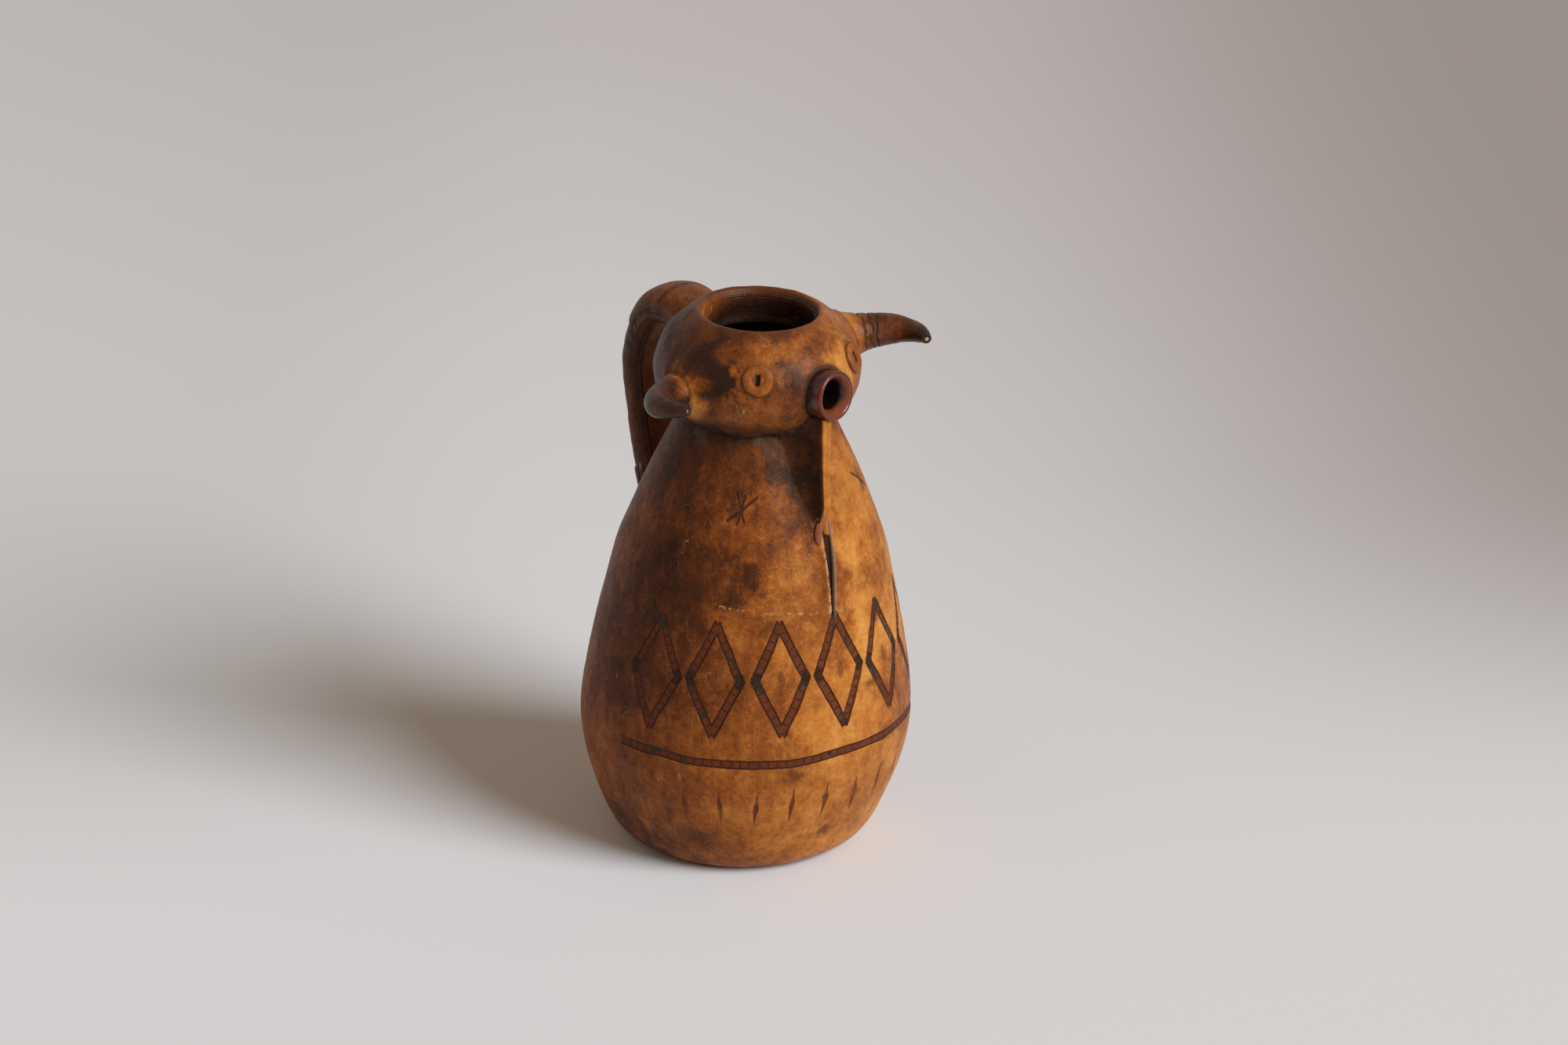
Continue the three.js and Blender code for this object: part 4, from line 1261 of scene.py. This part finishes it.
def horn_tree():
    """A leather horn along a path: it tapers, and wrinkles ring it unevenly."""
    depth, first, count = HORN_CREASES["left"]
    tree, bench, entry = new_form("wrinkled_horn", [
        ("Stations", "NodeSocketInt", HORN_STATIONS),
        ("Sides", "NodeSocketInt", HORN_SIDES),
        ("Root Radius", "NodeSocketFloat", HORN_ROOT["left"] * MM),
        ("Tip Radius", "NodeSocketFloat", HORN_TIP * MM),
        ("Taper", "NodeSocketFloat", HORN_TAPER),
        ("Crease Depth", "NodeSocketFloat", depth * MM),
        ("First Crease", "NodeSocketFloat", first),
        ("Crease Step", "NodeSocketFloat", 0.055),
        ("Creases", "NodeSocketFloat", count),
        ("Seed", "NodeSocketFloat", 1.0),
        ("Finish", "NodeSocketMaterial", None),
    ])
    path = bench.node("GeometryNodeMeshToCurve", None, {"Mesh": entry})
    sockets = {"Curve": path, "Count": entry.pick("Stations")}
    path = bench.node("GeometryNodeResampleCurve", None, sockets)
    share = bench.node("GeometryNodeSplineParameter").pick("Factor")
    left = 1 - share.math("POWER", entry.pick("Taper"))
    radius = entry.pick("Tip Radius") + (entry.pick("Root Radius") - entry.pick("Tip Radius")) * left
    kept = bench.node("GeometryNodeCaptureAttribute", None, {"Geometry": path})
    kept.socket.node.capture_items.new("FLOAT", "share")
    bench.tree.links.new(share.socket, kept.socket.node.inputs[1])
    sockets = {"Resolution": entry.pick("Sides"), "Radius": 1.0}
    ring = bench.node("GeometryNodeCurvePrimitiveCircle", None, sockets)
    sockets = {"Curve": kept, "Profile Curve": ring, "Scale": radius, "Fill Caps": True}
    tube = bench.node("GeometryNodeCurveToMesh", None, sockets)
    along = kept.pick(1)
    spot = bench.node("GeometryNodeInputPosition")

    def grain(seed, scale):
        sockets = {"Vector": spot, "W": seed, "Scale": scale, "Detail": 2.0}
        return bench.node("ShaderNodeTexNoise", {"noise_dimensions": "4D"}, sockets)

    coarse = grain(entry.pick("Seed"), 90.0)
    fine = grain(entry.pick("Seed") + 4, 260.0)
    warped = along + (coarse - 0.5) * 0.2 + (fine - 0.5) * 0.03 - entry.pick("First Crease")
    nearest = (warped / entry.pick("Crease Step")).math("ROUND")
    number = most(least(nearest, entry.pick("Creases") - 1), 0)
    off = abs(warped - number * entry.pick("Crease Step"))
    crease = fall(off, 0.0, 0.012) * rise(fine, 0.30, 0.52)
    depth = crease * entry.pick("Crease Depth") + (fine - 0.5) * (HORN_GRAIN * MM)
    lump = (coarse - 0.5) * (HORN_LUMPS * MM)
    sockets = {0: bench.node("GeometryNodeInputNormal"), "Scale": lump - depth}
    push = bench.node("ShaderNodeVectorMath", {"operation": "SCALE"}, sockets)
    form = bench.node("GeometryNodeSetPosition", None, {"Geometry": tube, "Offset": push})
    # The creases' darkness is kept as painted shade.
    for name, value in (("shade", crease * 0.62), ("along", along)):
        settings = {"data_type": "FLOAT", "domain": "POINT"}
        sockets = {"Geometry": form, "Name": name, "Value": value}
        form = bench.node("GeometryNodeStoreNamedAttribute", settings, sockets)
    finish_form(bench, entry, form)
    return tree


def make_horns():
    tree = horn_tree()
    for seed, side in enumerate(HORNS):
        depth, first, count = HORN_CREASES[side]
        settings = {
            "Root Radius": HORN_ROOT[side] * MM,
            "Crease Depth": depth * MM,
            "First Crease": first,
            "Creases": count,
            "Seed": 3.0 + 5 * seed,
            "Finish": horn_leather,
        }
        piece = grow_form(f"horn_leather_{side}", tree, horn_path(side, HORN_POINTS), settings)
        mesh = piece.data
        points = np.empty(len(mesh.vertices) * 3)
        mesh.vertices.foreach_get("co", points)
        points = seat_horn(points.reshape(-1, 3) / MM, side)
        mesh.vertices.foreach_set("co", (points * MM).ravel())
        mesh.update()
        _, radius, height = upright(points)
        shade = np.empty(len(points))
        mesh.attributes["shade"].data.foreach_get("value", shade)
        # Painted shade round the horn's root, where it meets the head.
        seam_shade = 0.6 * bell(radius - head_radius(height) - 1.6, 1.1)
        shade = np.maximum(shade, seam_shade).astype(np.float32)
        mesh.attributes["shade"].data.foreach_set("value", shade)
        seat_piece(piece, [f"horn_sleeve_{side}"])


def seat_horn(points, side):
    """Flares the root of a horn until it lies on the head."""
    line = horn_path(side, HORN_POINTS)
    nearest = np.argmin(np.linalg.norm(points[:, None] - line[None], axis=2), axis=1)
    _, radius, height = upright(line)
    start = int(np.argmax(radius > head_radius(height)))
    within = np.where(np.arange(HORN_POINTS) < start, -1, 1)
    away = np.linalg.norm(line - line[start], axis=1) * within
    flare = horn_flare(side, away[nearest])
    return line[nearest] + (points - line[nearest]) * flare[:, None]


def make_spout():
    """The glazed spout, turned with a soft flared lip."""
    soft = 1.1
    heights = np.linspace(-SPOUT_LENGTH, -soft - 0.4, 14)
    turns = np.linspace(math.pi / 2, 0, 9)
    outside = [(SPOUT_RADIUS + 0.12 * math.sin(z * 0.9), z) for z in heights]
    lip = [(SPOUT_RADIUS - soft + soft * math.sin(t), -soft + soft * math.cos(t)) for t in turns]
    flare = [(SPOUT_BORE + 3.1 * (1 - t) ** 1.15, -0.25 - 4.4 * t**1.1) for t in np.linspace(0, 1, 12)]
    bore = [(SPOUT_BORE, z) for z in np.linspace(-6, -SPOUT_LENGTH, 8)]
    outline = outside + lip + flare + bore + outside[:1]
    line = [(r, -z, 0) for r, z in outline]
    piece = grow_form("glazed_spout", turned_tree(), line, {"Segments": 72, "Finish": spout_glaze})
    piece.data.transform(spout_turn())
    face_outwards(piece.data)
    seat_piece(piece, ["spout"])


# Eyes

def eye_seat(sign):
    """Where an eye's middle is on the head, and its ways across, up and out."""
    turn = math.radians(sign * EYE_TURN)
    radius = float(head_radius(EYE_HEIGHT))
    at = settle(radius * math.sin(turn), -radius * math.cos(turn), np.float64(EYE_HEIGHT))
    slope = float(head_radius(EYE_HEIGHT + 1) - head_radius(EYE_HEIGHT - 1)) / 2
    out = Vector((math.sin(turn), -math.cos(turn), -slope)).normalized()
    across = Vector((0, 0, 1)).cross(out).normalized()
    return at, np.array([across, out.cross(across), out])


def make_eyes():
    """Discs with a round groove, an upright slit and a rim that goes down into the head."""
    disc = np.linspace(0.15, 6.4, 26)
    rim = EYE_RADIUS - np.array([0.55, 0.3, 0.1, 0, 0, 0.2])
    sink = np.concatenate([0.25 * rise(disc, 5.2, 6.6), [0.35, 0.5, 0.75, 1.1, 2.2, 3.2]])
    angles = np.linspace(0, 2 * math.pi, 64, endpoint=False)
    rho, theta = np.meshgrid(np.concatenate([disc, rim]), angles, indexing="ij")
    for side, sign, broad in (("left", 1, 1.25), ("right", -1, 1.0)):
        wobble = 1 + 0.02 * np.sin(3 * theta + sign) + 0.012 * np.sin(7 * theta)
        x, y = rho * np.cos(theta) * wobble, rho * np.sin(theta) * wobble
        slit = fall(np.abs(x - 0.25 * sign - 0.08 * y), 0.7 * broad, 1.35 * broad)
        slit = slit * fall(np.abs(y), 1.9, 2.9)
        dome = EYE_RISE - 0.2 - np.where(rho > 2.6, 0.05 * (rho - 4.9) ** 2, 0.26)
        out = dome - sink[:, None] - 0.3 * bell(rho - 2.9, 0.7) - 1.35 * slit
        # Painted shade in the slit, round the rim where the disc goes into the head, and over the sunken
        # middle.
        shade = np.maximum(slit * 0.97, 0.3 * rise(rho, 6.8, 7.4)) + 0.22 * fall(rho, 2.6, 3.6)
        at, ways = eye_seat(sign)
        points, faces = with_caps(at + np.stack([x, y, out], -1) @ ways)
        make_piece(f"eye_disc_{side}", points, faces, eye_leather, "eye_hide", [f"eye_{side}"], shade)


# The handle

COVER_FACE = -COVER_DEPTH / 2


def handle_path():
    """The middle line of the cover in (back, up), evenly spaced."""
    half = COVER_DEPTH / 2
    root = float(axis_y(HANDLE_ROOT_HEIGHT) + head_radius(HANDLE_ROOT_HEIGHT))
    slant = half * math.sqrt(0.5)
    top, shoulder, reach, elbow, foot = HANDLE_PLACES
    points = [
        (root - half, HANDLE_ROOT_HEIGHT - half),
        (top[0], top[1] - half),
        (shoulder[0] - slant, shoulder[1] - slant),
        (reach[0] - half, reach[1]),
        (elbow[0] - half, elbow[1]),
        (foot[0] - half, foot[1]),
        (foot[0] - 3 * half, foot[1] - 3 * half),
    ]
    return spaced(unlooped_line(points, 60), HANDLE_STEPS + 1)


handle_middle = handle_path()
handle_way = np.gradient(handle_middle, axis=0)
handle_way /= np.linalg.norm(handle_way, axis=1)[:, None]


def on_handle(across, out, share):
    """Places at a distance across and outwards from the handle's middle line."""
    at = np.clip(share, 0, 1) * HANDLE_STEPS
    steps = np.arange(HANDLE_STEPS + 1)
    y, z, ay, az = (np.interp(at, steps, line) for line in (*handle_middle.T, *handle_way.T))
    return np.stack([-across + 0 * y, y - az * out, z + ay * out], -1)


def clear_of_pitcher(point):
    """True where a point stands outside both hides, with a little room."""
    _, radius, height = upright(point)
    off_head = radius - head_radius(np.clip(height, HEAD_FOOT, LIP_HEIGHT - 0.4))
    off_body = radius - body_radius(np.clip(height, FOOT_HEIGHT, NECK_HEIGHT))
    return np.where(height > 219.5, off_head, off_body) > HANDLE_ROOM


def cover_outline(grow, steps=9):
    """The outer line of the cover's section, anticlockwise from its outer right side."""
    rounding = COVER_ROUNDING + grow
    half_width = COVER_WIDTH / 2 + grow
    flat_width, flat_depth = half_width - rounding, COVER_DEPTH / 2 + grow - rounding
    points = []
    for quarter, (sx, sy) in enumerate(((1, 1), (-1, 1), (-1, -1), (1, -1))):
        for turn in (quarter + np.linspace(0, 1, steps)) * math.pi / 2:
            x, y = rounding * math.cos(turn), rounding * math.sin(turn)
            points.append((sx * flat_width + x, sy * flat_depth + y))
        if quarter == 0:
            points += [(s * flat_width, flat_depth + rounding) for s in np.linspace(0.8, -0.8, 9)]
    points = np.array(points)
    crown = COVER_CROWN * (1 - (points[:, 0] / half_width) ** 2)
    points[:, 1] += np.where(points[:, 1] > 0, crown, 0)
    return points


def slotted_outline():
    """The cover's section, with the slot that the strip lies in."""
    outer = cover_outline(0)
    half = STRIP_WIDTH / 2 + SLOT_ROOM
    bed = COVER_FACE + HIDE + 0.05
    edge = [(half + 0.9, COVER_FACE), (half + 0.35, COVER_FACE + 0.12), (half, COVER_FACE + 0.6)]
    edge.append((half, bed))
    slot = [(-x, y) for x, y in edge] + [(x, bed) for x in (-6, -2, 2, 6)] + edge[::-1]
    over = (outer[:, 1] < COVER_FACE + 0.3) & (np.abs(outer[:, 0]) < half + 0.95)
    first = int(np.argmax(over))
    return np.vstack([outer[:first], slot, outer[first:][~over[first:]]])


def sweep(section, first, last, stations, field, wave=0):
    """Rings of a section along the handle, each of its lines cut where it meets the pitcher."""
    shares = np.linspace(first, last, 401)
    free = [shares[clear_of_pitcher(on_handle(across, out, shares))] for across, out in section]
    starts = np.array([run[0] for run in free]) + wave * (first > 0)
    ends = np.array([run[-1] for run in free]) + wave
    t = np.linspace(0, 1, stations)[:, None]
    share = starts * (1 - t) + ends * t
    across = np.repeat(section[None, :, 0], stations, 0)
    out = np.repeat(section[None, :, 1], stations, 0)
    grow = field(on_handle(across, out, share), across, out, share)
    flat = 2.2
    length = np.hypot(across / flat, out) + 1e-6
    return on_handle(across + grow * across / flat / length, out + grow * out / length, share)


def make_cover():
    """The leather round the handle's outer face and sides."""
    def swell(at, across, out, share):
        lump = 0.5 * dents(at, 26, 11) + 0.2 * dents(at, 8, 12)
        folds = 0.35 * np.sin(share * 150 + across * 0.12) * bell(share - 0.33, 0.07) * (out < 2)
        return (lump + folds) * np.where(out < COVER_FACE + 0.7, 0.3, 1)

    rings = sweep(slotted_outline(), 0, 1, 150, swell)
    points, faces = with_caps(rings)
    row = np.arange(len(rings))
    # Painted shade at both ends of the cover, where it meets the pitcher.
    seam_shade = 0.75 * (np.exp(-row / 1.2) + np.exp((row - len(rings) + 1) / 1.2))
    shade = np.repeat(seam_shade, rings.shape[1])
    nodes = ["handle_cover"]
    make_piece("handle_cover_leather", points, faces, handle_leather, "handle_hide", nodes, shade)


def make_strip():
    """The strip along the handle's inner face."""
    half, soft = STRIP_WIDTH / 2, 0.55
    places = np.linspace(-half + soft, half - soft, 13)
    low = [(x, COVER_FACE - 0.15 * (1 - (x / half) ** 2)) for x in places]
    side = [(half - 0.1, COVER_FACE + 0.22), (half, COVER_FACE + soft), (half, COVER_FACE + HIDE - 0.1)]
    section = np.array([(-x, y) for x, y in reversed(side)] + low + side)

    def swell(at, across, out, share):
        return 0.25 * dents(at, 15, 14) * (out < COVER_FACE + 0.5)

    points, faces = with_caps(sweep(section, 0, 1, 120, swell))
    make_piece("handle_strip_leather", points, faces, strip_leather, "handle_hide", ["handle_strip"])


def make_saddle(node, first, last, seed):
    """A thin skived lap of leather over the handle's outer face."""
    low = COVER_FACE + COVER_ROUNDING - 2.5
    inner, outer = cover_outline(SADDLE_INNER), cover_outline(SADDLE_OUTER)
    chosen = [i for i in range(len(outer)) if outer[i, 1] > low]
    start = next(k for k, i in enumerate(chosen) if chosen[k - 1] != i - 1)
    order = chosen[start:] + chosen[:start]
    count = len(order)
    thin = 1 - np.abs(np.linspace(-1, 1, count)) ** 8
    top = inner[order] + (outer[order] - inner[order]) * (0.12 + 0.88 * thin[:, None])
    section = np.vstack([top, inner[order][::-1]])
    wave = 0.0035 * np.sin(np.linspace(0.4, 8 + seed, count))
    wave = wave + 0.0015 * np.sin(np.linspace(0, 23, count))

    def swell(at, across, out, share):
        return 0.25 * dents(at, 18, 15 + seed)

    rings = sweep(section, first, last, 70, swell, np.concatenate([wave, wave[::-1]]))
    for k, fade in enumerate((0.12, 0.6, 0.9)):
        for row in (-1 - k, k) if first > 0 else (-1 - k,):
            under = rings[row, count:][::-1]
            rings[row, :count] = under + (rings[row, :count] - under) * fade
    points, faces = with_caps(rings)
    # Painted shade at the cap's root, where it meets the head.
    seam_shade = 0.75 * np.exp(-np.arange(len(rings)) / 1.6) * (first == 0)
    shade = np.repeat(seam_shade, rings.shape[1])
    make_piece(f"{node}_leather", points, faces, handle_leather, "handle_hide", [node], shade)


# What keeps its CAD shape

def dress_nodes():
    finishes = {
        "jug_body": jug_clay,
        "jug_head": jug_clay,
        "handle_core": jug_clay,
        "base_disc": sole_leather,
        "horn_peg_left": wood,
        "horn_peg_right": wood,
    }
    for name, material in finishes.items():
        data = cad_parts[name].data
        data.materials.clear()
        data.materials.append(material)


# Floor, light and camera

FLOOR_HALF = 8000
FLOOR_NEAR = (0.84, 0.885, 0.93)
FLOOR_FAR = (0.60, 0.59, 0.60)
FLOOR_LEFT = (0.45, 0.46, 0.48)
FLOOR_RIGHT = (0.49, 0.48, 0.50)
FLOOR_CORNER = (0.27, 0.21, 0.17)
ROOM_LIGHT = {"Color": (1.0, 0.73, 0.52, 1), "Strength": 0.235}
ROOM_WALL = {"Color": (0.50, 0.48, 0.47, 1), "Strength": 1.0}
# Each lamp: how far to the right, towards the camera and up, its angle, strength and colour.
LAMPS = {
    "window": (1.55, 1.1, 1.2, 32, 3.1, (0.96, 0.98, 1.0)),
    "fill": (-1.6, 0.9, 1.6, 60, 0.15, (1.0, 0.8, 0.62)),
}
# Camera: its lens and film are in millimetres and the rest is in metres and radians. Turn, distance
# and height say where it stands, and yaw, pitch and roll how it looks from there.
CAMERA_LENS = 100
CAMERA_FILM = 36
CAMERA_REACH = 30
CAMERA_TURN = 0.629
CAMERA_DISTANCE = 1.9237
CAMERA_HEIGHT = 0.9438
CAMERA_YAW = 0.0100
CAMERA_PITCH = 0.3882
CAMERA_ROLL = 0.0103


def pale_floor():
    """Pale near the camera and greyer away from it and to the sides, as painted falloff of light, and
    browner in the far right corner.
    """
    finish = Finish("pale_floor")
    grain = finish.cloud(1.5, 2, 152)
    behind = finish.x * 0.57 + finish.y * 0.82
    aside = finish.x * 0.82 - finish.y * 0.57
    # Painted falloff of light: greyer away from the camera and darker to the sides.
    away = behind * 0.8 + aside * rise(behind, -100, 600) * 0.9 + finish.blotch(420, 2, 151) * 200
    colour = finish.mix(rise(away, -250, 1500), FLOOR_NEAR, FLOOR_FAR)
    colour = finish.mix(rise(-aside, 60, 320) * rise(behind, -120, 160) * 0.3, colour, FLOOR_LEFT)
    colour = finish.mix(rise(aside, 0, 700) * rise(behind, -50, 520), colour, FLOOR_RIGHT)
    colour = finish.mix(rise(aside, 180, 600) * rise(behind, 0, 450) * 0.45, colour, FLOOR_CORNER)
    return finish.cover(colour, 0.9 + (grain - 0.5) * 0.1, grain * 0.02)


def make_floor():
    corners = [(x * FLOOR_HALF, y * FLOOR_HALF, 0) for x, y in ((-1, -1), (1, -1), (1, 1), (-1, 1))]
    mesh = new_mesh("floor", corners, [(0, 1, 2, 3)])
    mesh.materials.append(pale_floor())
    floor = put_in_scene("floor", mesh)


def make_room():
    """A weak warm light from all round, and a pale wall wherever the camera or a shine looks."""
    world = bpy.data.worlds.new("pale_room")
    bpy.context.scene.world = world
    world.use_nodes = True
    room = Bench(world.node_tree)
    room.tree.nodes.clear()
    rays = room.node("ShaderNodeLightPath")
    shine = most(rays.pick("Is Glossy Ray"), rays.pick("Is Transmission Ray"))
    seen = most(rays.pick("Is Camera Ray"), shine)
    light = room.node("ShaderNodeBackground", None, ROOM_LIGHT)
    wall = room.node("ShaderNodeBackground", None, ROOM_WALL)
    both = room.node("ShaderNodeMixShader", None, {0: seen, 1: light, 2: wall})
    end = room.tree.nodes.new("ShaderNodeOutputWorld")
    room.tree.links.new(both.socket, end.inputs["Surface"])


def make_camera():
    """The camera; returns its ways to the right and forward."""
    data = bpy.data.cameras.new("camera")
    data.lens = CAMERA_LENS
    data.sensor_width = CAMERA_FILM
    data.clip_end = CAMERA_REACH
    camera = put_in_scene("camera", data)
    turn = CAMERA_TURN + CAMERA_YAW
    level_way = Vector((math.sin(turn), math.cos(turn), 0))
    forward = level_way * math.cos(CAMERA_PITCH) - Vector((0, 0, math.sin(CAMERA_PITCH)))
    level = forward.cross(Vector((0, 0, 1))).normalized()
    upward = level.cross(forward)
    right = level * math.cos(CAMERA_ROLL) + upward * math.sin(CAMERA_ROLL)
    up = upward * math.cos(CAMERA_ROLL) - level * math.sin(CAMERA_ROLL)
    ways = Matrix((right, up, -forward)).transposed().to_4x4()
    x, y = -math.sin(CAMERA_TURN) * CAMERA_DISTANCE, -math.cos(CAMERA_TURN) * CAMERA_DISTANCE
    camera.matrix_world = Matrix.Translation((x, y, CAMERA_HEIGHT)) @ ways
    bpy.context.scene.camera = camera
    return right, forward


def make_lights(right, forward):
    """Suns, placed by the way in which the camera looks."""
    toward = Vector((-forward.x, -forward.y, 0)).normalized()
    side = Vector((right.x, right.y, 0)).normalized()
    for name, (aside, ahead, above, angle, strength, colour) in LAMPS.items():
        data = bpy.data.lights.new(name, "SUN")
        data.angle = math.radians(angle)
        data.energy = strength
        data.color = colour
        lamp = put_in_scene(name, data)
        lamp.location = side * aside + toward * ahead + Vector((0, 0, above))
        lamp.rotation_euler = (-lamp.location).to_track_quat("-Z", "Y").to_euler()


make_floor()
make_room()
make_lights(*make_camera())
make_body()
make_head()
make_lining()
make_horns()
make_spout()
make_eyes()
make_cover()
make_strip()
make_saddle("handle_cap", 0, CAP_END, 0)
make_saddle("handle_foot_tab", *FOOT_TAB, 2)
dress_nodes()
bpy.context.scene.view_settings.view_transform = "Standard"
